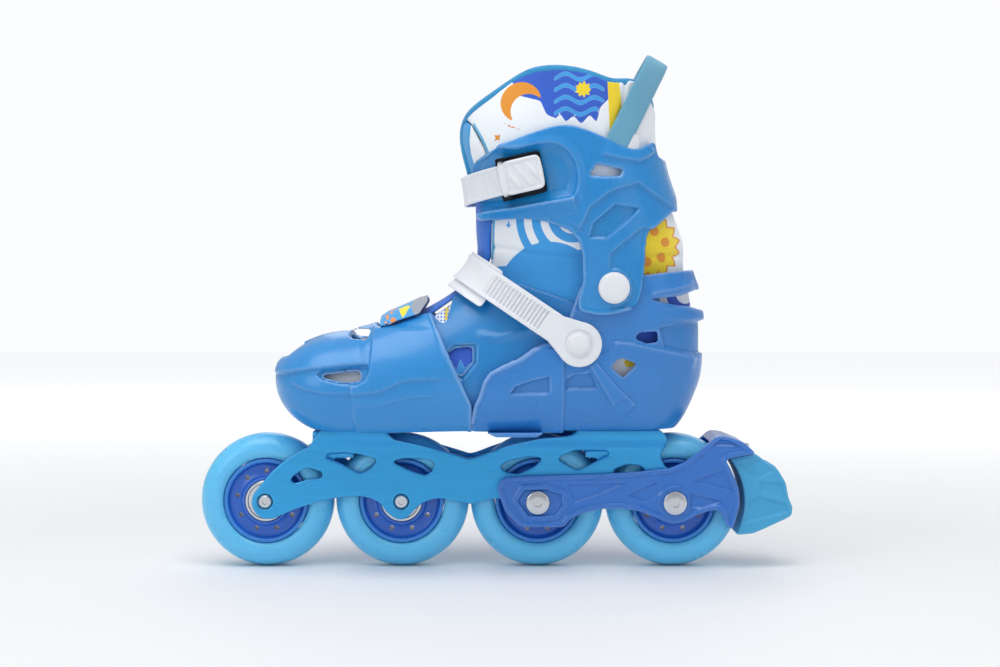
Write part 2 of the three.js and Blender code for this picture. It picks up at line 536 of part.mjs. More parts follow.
const PIVOT = [bx(59.1), bz(150.5)];
const STRAP_RIVET = [bx(41.2), bz(121.2)];
const RIVET_R = 3;
const PIVOT_LIFT = 0.9; // the cuff's inner face above the skin, so that it can swing
const CUFF_IN = PIVOT_LIFT;
const CUFF_OUT = PIVOT_LIFT + CUFF_T;

// The toe shell's floor is slotted round the front bolt so that it can slide out to a bigger size.
function boltSlot(r) {
  const x0 = FRONT_BOLT_X;
  const x1 = FRONT_BOLT_X + TOE_TRAVEL;
  return union(
    upright(r, SOLE_Z - 2, SOLE_Z + 6, x0),
    upright(r, SOLE_Z - 2, SOLE_Z + 6, x1),
    block(x1 - x0, 2 * r, 8, (x0 + x1) / 2, 0, SOLE_Z + 2),
  );
}
let toe = layer(-SHELL_T, 0).intersect(through(TOE_OUTLINE));
toe = toe.subtract(layer(-1.1, 1).intersect(through(TOE_SLOT)));
toe = toe.subtract(through(TOE_WINDOW)).subtract(through(TOE_NOTCH)).subtract(boltSlot(FRAME_BOLT_R + 0.5));
add("toe_shell", "toe_plastic", toe);

let heel = layer(-SHELL_T, 0).intersect(through(HEEL_OUTLINE));
for (const outline of HEEL_POCKETS) heel = heel.subtract(layer(-1.3, 1).intersect(through(outline)));
for (const outline of HEEL_WINDOWS) heel = heel.subtract(through(outline));
heel = heel.subtract(rod(PIVOT_SHAFT_R + GAP, -WIDE, WIDE, ...PIVOT, 20));
heel = heel.subtract(rod(RIVET_R + GAP, -WIDE, 0, ...STRAP_RIVET, 16));
heel = heel.subtract(upright(FRAME_BOLT_R + GAP, SOLE_Z - 2, SOLE_Z + 6, REAR_BOLT_X));
add("heel_shell", "heel_plastic", heel);

let base = layer(BASE_IN, BASE_OUT).intersect(through(BASE_OUTLINE));
for (const outline of BASE_WINDOWS) base = base.subtract(through(outline));
base = base.subtract(rod(RIVET_R + 3.4, -WIDE, 0, ...STRAP_RIVET, 16));
for (const x of [FRONT_BOLT_X, REAR_BOLT_X])
  base = base.subtract(upright(FRAME_BOLT_R + GAP, SOLE_Z, SOLE_Z + 12, x));
add("instep_shell", "boot_plastic", base);

// A round-headed rivet through the side of the boot, headed on both faces.
function rivet([x, z], side, inner, outer, shaftR, headR, headT, backR) {
  const out = outermost(x, z, outer, headR, side) + side * GAP;
  const back = innermost(x, z, inner, backR, side) - side * GAP;
  const span = (a, b) => [Math.min(a, b), Math.max(a, b)];
  return union(
    rod(shaftR, ...span(back - side, out + side), x, z, 20),
    rod(headR, ...span(out, out + side * headT), x, z, 24),
    rod(backR, ...span(back, back - side * 1.6), x, z, 20),
  );
}
for (const [name, side] of [["cuff_pivot_outer", -1], ["cuff_pivot_inner", 1]])
  add(name, "white_plastic", rivet(PIVOT, side, -SHELL_T, CUFF_OUT, PIVOT_SHAFT_R, CUFF_PIVOT_R, 2, 6));

// ---------------------------------------------------------------- cuff
const CUFF_OUTLINE = [
  [-10.2, 191.7], [-9.2, 188.1], [-2.5, 187], [13, 186.5], [25.8, 184.5], [36.2, 180.3], [40.8, 175.2],
  [42.9, 167.5], [43.4, 154.6], [40.8, 144.3], [40.8, 140.1], [42.9, 138.1], [51.6, 136.5],
  [59.3, 137.1], [67.1, 139.1], [72.2, 142.2], [74.3, 149.4], [75.3, 159.7], [76.4, 175.2],
  [77.4, 179.3], [85.1, 186], [92.3, 191.7], [125, 193], [125, 219], [83.6, 219], [82, 226.2],
  [80.5, 227.2], [72.2, 222.6], [69.1, 222.1], [64.5, 223.1], [56.8, 227.2], [46.5, 231.4],
  [38.7, 233.9], [33.6, 234.5], [25.8, 233.4], [18.1, 230.9], [10.4, 228.3], [2.7, 225.2],
  [-6.6, 221.1], [-12.8, 217.5], [-15.4, 214.4],
];
const CUFF_WINDOW = [[45.4, 208.2], [48, 210.2], [52.1, 214.9], [63.5, 211.3], [61.9, 207.7], [56.8, 207.1]];
const CUFF_RECESS = [[52.6, 188.1], [61.9, 192.7], [69.1, 190.7], [70.2, 189.1], [56.8, 177.8], [48.5, 176.2]];
const CUFF_RIVET = [bx(14), bz(208.4)];
let cuff = layer(CUFF_IN, CUFF_OUT).intersect(through(CUFF_OUTLINE)).subtract(through(CUFF_WINDOW));
cuff = cuff.subtract(layer(CUFF_OUT - 1.2, CUFF_OUT + 1).intersect(through(CUFF_RECESS)));
cuff = cuff.subtract(rod(PIVOT_SHAFT_R + GAP, -WIDE, WIDE, ...PIVOT, 20));
cuff = cuff.subtract(rod(RIVET_R + GAP, 0, WIDE, ...CUFF_RIVET, 16));
add("cuff", "boot_plastic", cuff);

// ---------------------------------------------------------------- liner, tongue, insole
const LINER_OUT = BASE_IN - 0.4;
const LINER_IN = LINER_OUT - LINER_T;
const SPLIT_Z = 165.5; // the inner boot's ankle seam, behind which the collar leans with the cuff
const LINER_OUTLINE = [
  [-135, 60], [-135, 140], [-71, 140], [-70.2, 118], [-37.2, 134], [-18.5, 147], [-9, 155],
  [-4, SPLIT_Z], [125, SPLIT_Z], [125, 60],
];
const TONGUE_LOW_OUTLINE = [
  [-70, 145], [-69.6, 119.1], [-38, 135.4], [-19.4, 148.3], [-10, 156.3], [-5.2, 166.5], [-40, 169], [-70, 160],
];
const COLLAR_OUTLINE = [
  [-3.5, 188], [40, 174], [58, 168.8], [90, 168.8], [125, 170.5], [125, 240], [82.4, 246.5],
  [77.1, 255.5], [70.7, 261.1], [64.9, 260.8], [57.5, 259.7], [47.9, 263.5], [37.3, 266.1],
  [26.7, 266.9], [16.1, 265.6], [5.5, 259.7], [-5, 251.8],
];
const TONGUE_TOP_OUTLINE = [
  [-4, 188.2], [-5.5, 251], [-10.5, 247.5], [-15.8, 242.2], [-19.5, 234.3], [-40, 226], [-40, 192],
];
const COLLAR_OUT = -0.2;
const COLLAR_IN = LINER_IN;
add("liner_lower", "liner_fabric", layer(LINER_IN, LINER_OUT).intersect(through(LINER_OUTLINE)));
add("tongue_lower", "tongue_fabric", layer(LINER_IN, BASE_OUT).intersect(through(TONGUE_LOW_OUTLINE)));
const collar = layer(COLLAR_IN, COLLAR_OUT).intersect(through(COLLAR_OUTLINE));
const collarRelief = layer(-3.2, 1).intersect(through([[30, 150], [30, 172], [125, 172], [125, 150]]));
const rivetRelief = layer(-7, 1).intersect(rod(5.2, 0, WIDE, ...CUFF_RIVET, 16));
add("tongue_upper", "tongue_fabric", layer(COLLAR_IN, COLLAR_OUT).intersect(through(TONGUE_TOP_OUTLINE)));
const insoleTop = SOLE_Z - LINER_IN + GAP + INSOLE_T;
add("insole", "insole_foam", body(LINER_IN - GAP).intersect(block(400, 200, 2 * insoleTop, 0, 0, 0)));

// The pull loop is a band of webbing carried from one side of the collar over to the other.
const LOOP_W = 12.5;
const LOOP_T = 1.4;
const LOOP_LIFT = 2.2;
const LOOP_FOOT = [64.6, 233];
const LOOP_HEAD = [84.8, 272.6];
function loopEdges() {
  const [x0, z0] = LOOP_FOOT;
  const [x1, z1] = LOOP_HEAD;
  const long = Math.hypot(x1 - x0, z1 - z0);
  const acrossX = ((z1 - z0) / long) * (LOOP_W / 2);
  const acrossZ = (-(x1 - x0) / long) * (LOOP_W / 2);
  const stations = [0, 0.18, 0.36, 0.54, 0.7];
  const edge = (s, side, t, lean) => {
    const x = bx(x0 + (x1 - x0) * t + s * acrossX);
    const z = bz(z0 + (z1 - z0) * t + s * acrossZ);
    return [x, skinY(x, Math.min(z, bz(258)), LOOP_LIFT, side) * lean, z];
  };
  const run = (s) => {
    const near = stations.map((t) => edge(s, -1, t, 1));
    const far = stations.map((t) => edge(s, 1, t, 1)).reverse();
    const crown = [[0.86, 0.86], [0.95, 0.6], [0.99, 0.3], [1, 0]];
    const top = edge(s, -1, stations[4], 1);
    const over = crown.map(([t, share]) => {
      const p = edge(s, -1, t, 1);
      return [p[0], top[1] * share, p[2]];
    });
    const back = over.slice(0, -1).reverse().map(([x, y, z]) => [x, -y * (far[0][1] / -top[1]), z]);
    return [...near, ...over, ...back, ...far];
  };
  return [run(-1), run(1)];
}
const loopRelief = ribbon(...loopEdges(), LOOP_T + 2 * GAP);
add("liner_collar", "liner_fabric", collar.subtract(collarRelief).subtract(rivetRelief).subtract(loopRelief));
add("pull_loop", "webbing", ribbon(...loopEdges(), LOOP_T));

// ---------------------------------------------------------------- straps and buckles
const STRAP_W = 15.4;
// A side-view frame for a strap: `a` runs along it towards its free end, `c` across it.
const strapFrame = ([x, z], [tx, tz]) => {
  const long = Math.hypot(tx, tz);
  return (a, c) => [x + (a * tx - c * tz) / long, z + (a * tz + c * tx) / long];
};
const rect = (at, a0, a1, c0, c1) => [at(a0, c0), at(a1, c0), at(a1, c1), at(a0, c1)];
const half = (side) => (side < 0 ? [-WIDE, 0] : [0, WIDE]);

const TOE_STRAP_OUTLINE = [[-64.2, 145], [-63.4, 129.7], [-42.8, 136.4], [-42, 155]];
add("toe_strap", "printed_strap", layer(0.6, 0.6 + STRAP_T).intersect(through(TOE_STRAP_OUTLINE)));

// One ratchet buckle: a base with two ears, and a lever that swings between them on its own
// trunnions at the end where the strap comes in. `skin` is the face it sits on.
const LEVER_L = 22;
const LEVER_W = 17.5;
const LEVER_T = 2.4;
const EAR_T = 1.8;
const STRAP_LIFT = 1.8;
const LEVER_LIFT = 4.3;
function buckle(at, side, skin) {
  const plate = rect(at, -LEVER_L / 2 - 1, LEVER_L / 2 + 0.6, -LEVER_W / 2 - 2.2, LEVER_W / 2 + 2.2);
  let base = layer(skin + GAP, skin + GAP + 1.2).intersect(prism(plate, ...half(side)));
  const hinge = [-1, 1].map((c) => {
    const [x, z] = at(LEVER_L / 2 - 1.9, c * (LEVER_W / 2 + 2.4));
    return [x, skinY(x, z, skin + LEVER_LIFT + 1.1, side), z];
  });
  for (const c of [-1, 1]) {
    const inner = c * (LEVER_W / 2 + 0.4);
    const outer = c * (LEVER_W / 2 + 0.4 + EAR_T);
    const ear = rect(at, LEVER_L / 2 - 4.6, LEVER_L / 2 + 0.6, Math.min(inner, outer), Math.max(inner, outer));
    base = base.add(layer(skin + GAP + 0.5, skin + LEVER_LIFT + 3.3).intersect(prism(ear, ...half(side))));
  }
  base = base.subtract(bar(...stretched(hinge, 4), 1.3));
  const flap = rect(at, -LEVER_L / 2, LEVER_L / 2 - 1.9, -LEVER_W / 2, LEVER_W / 2);
  const cover = layer(skin + LEVER_LIFT, skin + LEVER_LIFT + LEVER_T).intersect(prism(flap, ...half(side)));
  const between = rect(at, -LEVER_L, LEVER_L, -LEVER_W / 2 - 0.2, LEVER_W / 2 + 0.2);
  const barrel = bar(...stretched(hinge, -2.2), 1.5).intersect(prism(between, ...half(side)));
  const lever = union(cover, barrel, bar(...stretched(hinge, -0.3), 0.95));
  return { base, lever, hinge };
}
// The same segment made longer at both ends by e.
function stretched([p, q], e) {
  const a = new THREE.Vector3(...p);
  const b = new THREE.Vector3(...q);
  const n = b.clone().sub(a).normalize().multiplyScalar(e);
  return [a.clone().sub(n).toArray(), b.clone().add(n).toArray()];
}

const cuffStrapAt = strapFrame([bx(10.8), bz(208.2)], [-20, -4.2]);
const cuffBuckle = buckle(cuffStrapAt, -1, CUFF_OUT);
add("cuff_buckle_base", "steel", cuffBuckle.base);
add("cuff_buckle_lever", "white_plastic", cuffBuckle.lever);
const cuffStrapLayer = layer(CUFF_OUT + STRAP_LIFT, CUFF_OUT + STRAP_LIFT + STRAP_T);
let cuffStrap = union(
  cuffStrapLayer.intersect(prism(rect(cuffStrapAt, -4, 60, -STRAP_W / 2, STRAP_W / 2), -WIDE, 1)),
  cuffStrapLayer.intersect(prism(rect(cuffStrapAt, -11, 60, -STRAP_W / 2, STRAP_W / 2), 0, WIDE)),
);
cuffStrap = cuffStrap.subtract(rod(RIVET_R + GAP, 0, WIDE, ...CUFF_RIVET, 16));
add("cuff_strap", "white_plastic", cuffStrap);
add("cuff_strap_rivet", "steel", rivet(CUFF_RIVET, 1, CUFF_IN, CUFF_OUT + STRAP_LIFT + STRAP_T, RIVET_R, 5, 1.4, 3.4));

const ankleAt = strapFrame(STRAP_RIVET, [-55, 37]);
const ANKLE_LIFT = 2.2;
const ankleLayer = layer(ANKLE_LIFT, ANKLE_LIFT + STRAP_T - 0.2);
const ankleBand = prism(rect(ankleAt, 0, 110, -STRAP_W / 2, STRAP_W / 2), -WIDE, 1);
const ankleBandFar = prism(rect(ankleAt, 12, 110, -STRAP_W / 2, STRAP_W / 2), 0, WIDE);
const ankleEnd = layer(0.4, ANKLE_LIFT + STRAP_T - 0.2).intersect(rod(11.8, -WIDE, 0, ...STRAP_RIVET, 32));
let ankleStrap = union(ankleLayer.intersect(ankleBand), ankleLayer.intersect(ankleBandFar), ankleEnd);
ankleStrap = ankleStrap.subtract(rod(RIVET_R + GAP, -WIDE, 0, ...STRAP_RIVET, 16));
add("ankle_strap", "white_plastic", ankleStrap);
const shieldOutline = rect(ankleAt, 53, 110, -9.5, 13);
add("instep_shield", "white_plastic", layer(0.4, 1.9).intersect(prism(shieldOutline, -WIDE, WIDE)));
add("ankle_strap_rivet", "white_plastic", rivet(STRAP_RIVET, -1, -SHELL_T, ANKLE_LIFT + STRAP_T, RIVET_R, 5.7, 1.2, 5.4));
const ankleBuckleAt = strapFrame(ankleAt(7, 0), [-55, 37]);
const ankleBuckle = buckle(ankleBuckleAt, 1, 0.1);
add("ankle_buckle_base", "steel", ankleBuckle.base);
add("ankle_buckle_lever", "white_plastic", ankleBuckle.lever);

// ---------------------------------------------------------------- size button
const BUTTON_Z = SOLE_Z - GAP - 3.2;
const button = block(30, 22, 3.2, bx(8), bw(-30), BUTTON_Z + 1.6);
add("size_button", "heel_plastic", button);

// ---------------------------------------------------------------- origin under the middle
const box = new THREE.Box3();
for (const mesh of skate.children) {
  mesh.geometry.computeBoundingBox();
  box.union(mesh.geometry.boundingBox);
}
const middle = box.getCenter(new THREE.Vector3());
for (const mesh of skate.children) {
  mesh.geometry.translate(-middle.x, -middle.y, 0);
  mesh.geometry.computeVertexNormals();
}

export default skate;
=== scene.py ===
import json
import math

import bmesh
import bpy
import numpy as np
from mathutils import Matrix, Vector
from mathutils.bvhtree import BVHTree
from mathutils.kdtree import KDTree


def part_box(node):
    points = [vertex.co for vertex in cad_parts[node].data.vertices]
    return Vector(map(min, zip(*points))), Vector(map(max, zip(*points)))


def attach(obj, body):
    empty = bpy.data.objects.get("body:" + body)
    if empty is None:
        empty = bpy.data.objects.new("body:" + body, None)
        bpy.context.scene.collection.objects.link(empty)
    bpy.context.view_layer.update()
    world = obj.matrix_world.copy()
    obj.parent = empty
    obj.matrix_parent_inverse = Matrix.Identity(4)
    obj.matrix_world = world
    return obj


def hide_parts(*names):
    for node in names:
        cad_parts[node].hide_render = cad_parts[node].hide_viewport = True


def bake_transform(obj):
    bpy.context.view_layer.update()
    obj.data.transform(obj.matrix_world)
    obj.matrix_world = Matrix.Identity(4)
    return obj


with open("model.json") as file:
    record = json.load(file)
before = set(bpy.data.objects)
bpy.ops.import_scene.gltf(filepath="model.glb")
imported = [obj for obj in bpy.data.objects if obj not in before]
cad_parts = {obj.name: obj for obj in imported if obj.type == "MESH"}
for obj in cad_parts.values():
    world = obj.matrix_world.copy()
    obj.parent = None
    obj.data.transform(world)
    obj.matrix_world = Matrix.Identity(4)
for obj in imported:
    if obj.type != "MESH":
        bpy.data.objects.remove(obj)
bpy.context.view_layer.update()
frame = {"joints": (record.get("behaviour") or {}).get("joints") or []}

# ------------------------------------------------------------------ studio
# A plain pale floor that brightens away from the object until it meets a white surround, a large
# soft light overhead, two weaker ones in front and one behind, and a long-lens camera at ankle height.
CAMERA_AT = (-0.0003, -0.9486, 0.152)
CAMERA_TILT_DEG = 1.586
LENS_MM = 63.07
FLOOR_HALF_M = 3.0
AMBIENT = 0.5
WHITE = (0.97, 0.98, 1.0, 1)

scene = bpy.context.scene
scene.view_settings.view_transform = "Standard"


def add_node(tree, kind, inputs=None, **settings):
    made = tree.nodes.new(kind)
    for key, value in settings.items():
        setattr(made, key, value)
    for key, value in (inputs or {}).items():
        if isinstance(value, bpy.types.NodeSocket):
            tree.links.new(value, made.inputs[key])
        else:
            made.inputs[key].default_value = value
    return made


def blank_material(name):
    made = bpy.data.materials.new(name)
    made.use_nodes = True
    tree = made.node_tree
    return made, tree, tree.nodes["Principled BSDF"]


def mixed(tree, share, a, b, blend="MIX"):
    made = add_node(tree, "ShaderNodeMix", data_type="RGBA", blend_type=blend)
    colour_in = [s for s in made.inputs if s.type == "RGBA"]
    for socket, value in ((made.inputs[0], share), (colour_in[0], a), (colour_in[1], b)):
        if isinstance(value, bpy.types.NodeSocket):
            tree.links.new(value, socket)
        else:
            socket.default_value = value if isinstance(value, float) else (*value[:3], 1.0)
    return [s for s in made.outputs if s.type == "RGBA"][0]


def to_linear(colour):
    shares = [v / 255 for v in colour]
    return tuple(c / 12.92 if c <= 0.04045 else ((c + 0.055) / 1.055) ** 2.4 for c in shares)


# A value carried over from the range start..end to the range low..high.
def ranged(tree, value, low, high, start=0.0, end=1.0):
    settings = {"Value": value, "From Min": start, "From Max": end, "To Min": low, "To Max": high}
    return add_node(tree, "ShaderNodeMapRange", settings).outputs["Result"]


def studio_light(name, place, aim, size, watts):
    data = bpy.data.lights.new(name, "AREA")
    data.shape = "RECTANGLE"
    data.size, data.size_y = size
    data.energy = watts
    made = bpy.data.objects.new(name, data)
    made.location = place
    made.rotation_euler = (Vector(aim) - Vector(place)).to_track_quat("-Z", "Y").to_euler()
    scene.collection.objects.link(made)


studio_light("overhead", (-0.1, -0.3, 1.15), (0, 0, 0.1), (1.3, 0.8), 9)
studio_light("front_left", (-1.1, -1.2, 0.75), (0, 0, 0.13), (0.7, 0.7), 3.5)
studio_light("front_right", (1.2, -1.1, 0.6), (0, 0, 0.13), (0.8, 0.8), 1.2)
studio_light("behind", (0.2, 1.3, 0.8), (0, 0, 0.15), (1.2, 0.8), 3.0)

world = bpy.data.worlds.new("studio")
world.use_nodes = True
sky_tree = world.node_tree
seen = add_node(sky_tree, "ShaderNodeLightPath").outputs["Is Camera Ray"]
strength = ranged(sky_tree, seen, AMBIENT, 1.0)
sky_tree.nodes["Background"].inputs["Color"].default_value = WHITE
sky_tree.links.new(strength, sky_tree.nodes["Background"].inputs["Strength"])
scene.world = world

floor_mesh = bpy.data.meshes.new("floor")
corners = [(x * FLOOR_HALF_M, y * FLOOR_HALF_M, 0) for x, y in ((-1, -1), (1, -1), (1, 1), (-1, 1))]
floor_mesh.from_pydata(corners, [], [(0, 1, 2, 3)])
floor = bpy.data.objects.new("floor", floor_mesh)
scene.collection.objects.link(floor)
floor_paint, tree, bsdf = blank_material("floor")
grain = add_node(tree, "ShaderNodeTexNoise", {"Scale": 3.0, "Detail": 2.0})
floor_colour = mixed(tree, grain.outputs["Fac"], (0.86, 0.865, 0.87), (0.88, 0.885, 0.89))
tree.links.new(floor_colour, bsdf.inputs["Base Color"])
bsdf.inputs["Roughness"].default_value = 0.6
bsdf.inputs["Specular IOR Level"].default_value = 0.3
# Painted light: the floor glows by its own emission, more strongly the further it lies from the object, so
# that it fades into the white surround.
spot = add_node(tree, "ShaderNodeTexCoord").outputs["Object"]
reach = add_node(tree, "ShaderNodeVectorMath", {0: spot}, operation="LENGTH").outputs["Value"]
tree.links.new(ranged(tree, reach, 0.0, 0.5, 0.3, 1.3), bsdf.inputs["Emission Strength"])
bsdf.inputs["Emission Color"].default_value = WHITE
floor.data.materials.append(floor_paint)

camera_data = bpy.data.cameras.new("camera")
camera_data.lens = LENS_MM
camera_data.sensor_width = 36.0
camera_data.shift_x = 0.005
camera = bpy.data.objects.new("camera", camera_data)
camera.location = CAMERA_AT
camera.rotation_euler = (math.radians(90 - CAMERA_TILT_DEG), 0, 0)
scene.collection.objects.link(camera)
scene.camera = camera

# ------------------------------------------------------------------ wheels
# Each wheel is a pale polyurethane tyre cast round a moulded hub, with a ball bearing pressed in
# from each side and a tube between the two. The hub's face is dished and pierced by nine holes.
MM = 0.001
LATHE_STEPS = 144


def centre_of(node):
    low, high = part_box(node)
    return [(a + b) / 2 / MM for a, b in zip(low, high)]


def piece_from(name, points, faces, paint, smooth=True):
    data = bpy.data.meshes.new(name)
    data.from_pydata([tuple(v * MM for v in p) for p in points], [], faces)
    data.update()
    made = bpy.data.objects.new(name, data)
    scene.collection.objects.link(made)
    if paint:
        data.materials.append(paint)
    turned_out(made)
    if smooth:
        data.polygons.foreach_set("use_smooth", [True] * len(data.polygons))
    return made


# Faces of a closed mesh all looking outwards.
def turned_out(piece):
    work = bmesh.new()
    work.from_mesh(piece.data)
    bmesh.ops.remove_doubles(work, verts=work.verts, dist=1e-7)
    bmesh.ops.recalc_face_normals(work, faces=work.faces)
    if work.calc_volume(signed=True) < 0:
        bmesh.ops.reverse_faces(work, faces=work.faces)
    work.to_mesh(piece.data)
    work.free()


# A profile of (radius, y) points that closes on itself, turned about the Y axis through (x, z).
def lathe(name, profile, x, y, z, paint, steps=LATHE_STEPS):
    count = len(profile)
    turn = np.linspace(0, 2 * np.pi, steps, endpoint=False)
    points = [(x + r * math.sin(t), y + w, z + r * math.cos(t)) for t in turn for r, w in profile]
    faces = []
    for i in range(steps):
        for j in range(count):
            a, b = i * count, ((i + 1) % steps) * count
            k = (j + 1) % count
            faces.append((a + j, a + k, b + k, b + j))
    return piece_from(name, points, faces, paint)


# Corners rounded by small arcs, so that turned and moulded edges catch the light.
def rounded(points, radius, steps=3):
    points = [np.array(p, float) for p in points]
    out = []
    for i, here in enumerate(points):
        before, after = points[i - 1], points[(i + 1) % len(points)]
        back, on = before - here, after - here
        reach_back, reach_on = np.linalg.norm(back), np.linalg.norm(on)
        if reach_back < 1e-6 or reach_on < 1e-6:
            continue
        cut = min(radius, 0.45 * reach_back, 0.45 * reach_on)
        a, b = here + back / reach_back * cut, here + on / reach_on * cut
        for t in np.linspace(0, 1, steps + 1):
            out.append(tuple((1 - t) ** 2 * a + 2 * t * (1 - t) * here + t**2 * b))
    return out


# Half a profile and its mirror image on the other side of the middle.
def both_ways(half):
    return list(half) + [(r, -w) for r, w in reversed(half)]


# The piece's mesh as its modifiers leave it, kept in place of the old one.
def evaluated(piece):
    deps = bpy.context.evaluated_depsgraph_get()
    data = bpy.data.meshes.new_from_object(piece.evaluated_get(deps))
    old = piece.data
    piece.modifiers.clear()
    piece.data = data
    if old.users == 0:
        bpy.data.meshes.remove(old)
    return piece


def painted(piece, paint):
    piece.data.materials.clear()
    piece.data.materials.append(paint)
    return piece


def boolean(piece, tool, operation="DIFFERENCE", keep_tool=False):
    cut = piece.modifiers.new("cut", "BOOLEAN")
    cut.operation = operation
    cut.object = tool
    cut.solver = "MANIFOLD"
    paints = [paint for paint in piece.data.materials if paint]
    evaluated(piece)
    if paints:
        painted(piece, paints[0])
    if not keep_tool:
        bpy.data.objects.remove(tool)
    return piece


# Shading that is smooth over curves and crisp over edges sharper than the angle given.
def crisp(piece, degrees=32):
    data = piece.data
    work = bmesh.new()
    work.from_mesh(data)
    for face in work.faces:
        face.smooth = True
    for edge in work.edges:
        if len(edge.link_faces) == 2:
            edge.smooth = edge.calc_face_angle(0.0) < math.radians(degrees)
    work.to_mesh(data)
    work.free()
    return piece


def noise(tree, place, scale, detail):
    made = add_node(tree, "ShaderNodeTexNoise", {"Vector": place, "Scale": scale, "Detail": detail})
    return made.outputs["Fac"]


def shaded(colour, factor, lift=0.0):
    return tuple(min(1, c * factor + lift) for c in colour)


# Fine relief of a surface, too small to be in the mesh.
def add_bump(tree, bsdf, height, strength, deep_m=0.0002):
    bump = add_node(tree, "ShaderNodeBump", {"Height": height, "Strength": strength, "Distance": deep_m})
    tree.links.new(bump.outputs["Normal"], bsdf.inputs["Normal"])


# Cast and moulded plastics share one make-up: a colour that wavers a little, a painted highlight on
# sharp edges, painted shade in the hollows, a fine skin, and roughness that varies over the surface.
def moulded(name, colour, rough=0.34, wander=0.06, edge=0.25, skin=0.04, coat=0.0, milky=0.0):
    made, tree, bsdf = blank_material(name)
    base = to_linear(colour)
    place = add_node(tree, "ShaderNodeTexCoord").outputs["Object"]
    shape = add_node(tree, "ShaderNodeNewGeometry").outputs["Pointiness"]
    wavering = shaded(base, 1 - wander), shaded(base, 1 + wander, 0.004)
    body = mixed(tree, noise(tree, place, 22.0, 3.0), *wavering)
    # Painted shade darkens the hollows and a painted highlight pales the sharp edges; edge sets both.
    hollow_shade = ranged(tree, shape, 0.0, edge * 0.8, 0.484, 0.42)
    edge_highlight = ranged(tree, shape, 0.0, edge, 0.51, 0.57)
    body_with_shade = mixed(tree, hollow_shade, body, shaded(base, 0.35))
    tree.links.new(mixed(tree, edge_highlight, body_with_shade, shaded(base, 0.6, 0.4)), bsdf.inputs["Base Color"])
    scuff = noise(tree, place, 90.0, 4.0)
    dull = ranged(tree, scuff, rough - 0.05, rough + 0.07, 0.3, 0.7)
    tree.links.new(dull, bsdf.inputs["Roughness"])
    add_bump(tree, bsdf, noise(tree, place, 1700.0, 2.0), skin)
    bsdf.inputs["Coat Weight"].default_value = coat
    bsdf.inputs["Coat Roughness"].default_value = 0.12
    bsdf.inputs["IOR"].default_value = 1.47
    if milky:
        bsdf.inputs["Subsurface Weight"].default_value = milky
        bsdf.inputs["Subsurface Radius"].default_value = (0.4, 0.7, 1.0)
        bsdf.inputs["Subsurface Scale"].default_value = 0.006
    return made


tyre_paint = moulded(
    "tyre_urethane", (100, 196, 240), rough=0.3, wander=0.02, edge=0.1, milky=0.55, coat=0.15,
)
hub_paint = moulded("hub_plastic", (30, 98, 196), rough=0.3, wander=0.05, edge=0.2, coat=0.3)
hub_rim_paint = moulded("hub_rim", (54, 132, 212), rough=0.3, wander=0.03, edge=0.0)


def metal(name, colour, rough=0.22):
    made, tree, bsdf = blank_material(name)
    place = add_node(tree, "ShaderNodeTexCoord").outputs["Object"]
    mark = noise(tree, place, 260.0, 5.0)
    base = to_linear(colour)
    tree.links.new(mixed(tree, mark, shaded(base, 0.86), shaded(base, 1.08)), bsdf.inputs["Base Color"])
    tree.links.new(ranged(tree, mark, rough - 0.06, rough + 0.1), bsdf.inputs["Roughness"])
    bsdf.inputs["Metallic"].default_value = 1.0
    add_bump(tree, bsdf, mark, 0.05)
    return made


steel_paint = metal("plated_steel", (205, 209, 214))

TYRE_HALF = [
    (22.9, -9.7), (24.2, -11.0), (26.2, -11.7), (28.6, -11.5), (30.8, -10.7), (32.7, -9.2),
    (34.3, -7.1), (35.4, -4.7), (35.9, -2.3), (36.0, -0.6),
]
HUB_HALF = [
    (22.6, -9.9), (22.2, -10.3), (20.9, -10.3), (20.4, -9.9), (19.6, -8.0), (18.6, -7.5), (15.6, -7.7),
    (13.5, -8.6), (12.9, -9.8), (12.7, -11.4), (12.3, -11.8), (11.4, -11.8), (11.2, -11.6),
    (11.2, -5.0), (8.8, -4.7),
]
VENTS = 9
VENT_R = 1.25
VENT_CIRCLE_R = 15.9
DRILL_REACH = 13.0
HUB_RIM_R = 20.7
SPACER_HALF = [(4.1, -4.7), (5.5, -4.7)]
BEARING_HALF = [
    (4.1, -3.3), (4.3, -3.5), (5.7, -3.5), (5.9, -3.3), (6.0, -3.05), (9.2, -3.05), (9.35, -3.3),
    (9.6, -3.5), (10.7, -3.5), (10.95, -3.25),
]


def vent_drills(x, y, z):
    points, faces = [], []
    sides = 20
    for k in range(VENTS):
        around = k / VENTS * 2 * math.pi + math.pi / 2
        cx, cz = x + VENT_CIRCLE_R * math.cos(around), z + VENT_CIRCLE_R * math.sin(around)
        start = len(points)
        for depth in (-DRILL_REACH, DRILL_REACH):
            for s in range(sides):
                t = s / sides * 2 * math.pi
                points.append((cx + VENT_R * math.cos(t), y + depth, cz + VENT_R * math.sin(t)))
        faces.append(tuple(range(start, start + sides)))
        faces.append(tuple(range(start + 2 * sides - 1, start + sides - 1, -1)))
        for s in range(sides):
            n = (s + 1) % sides
            faces.append((start + s, start + sides + s, start + sides + n, start + n))
    return piece_from("drills", points, faces, None)


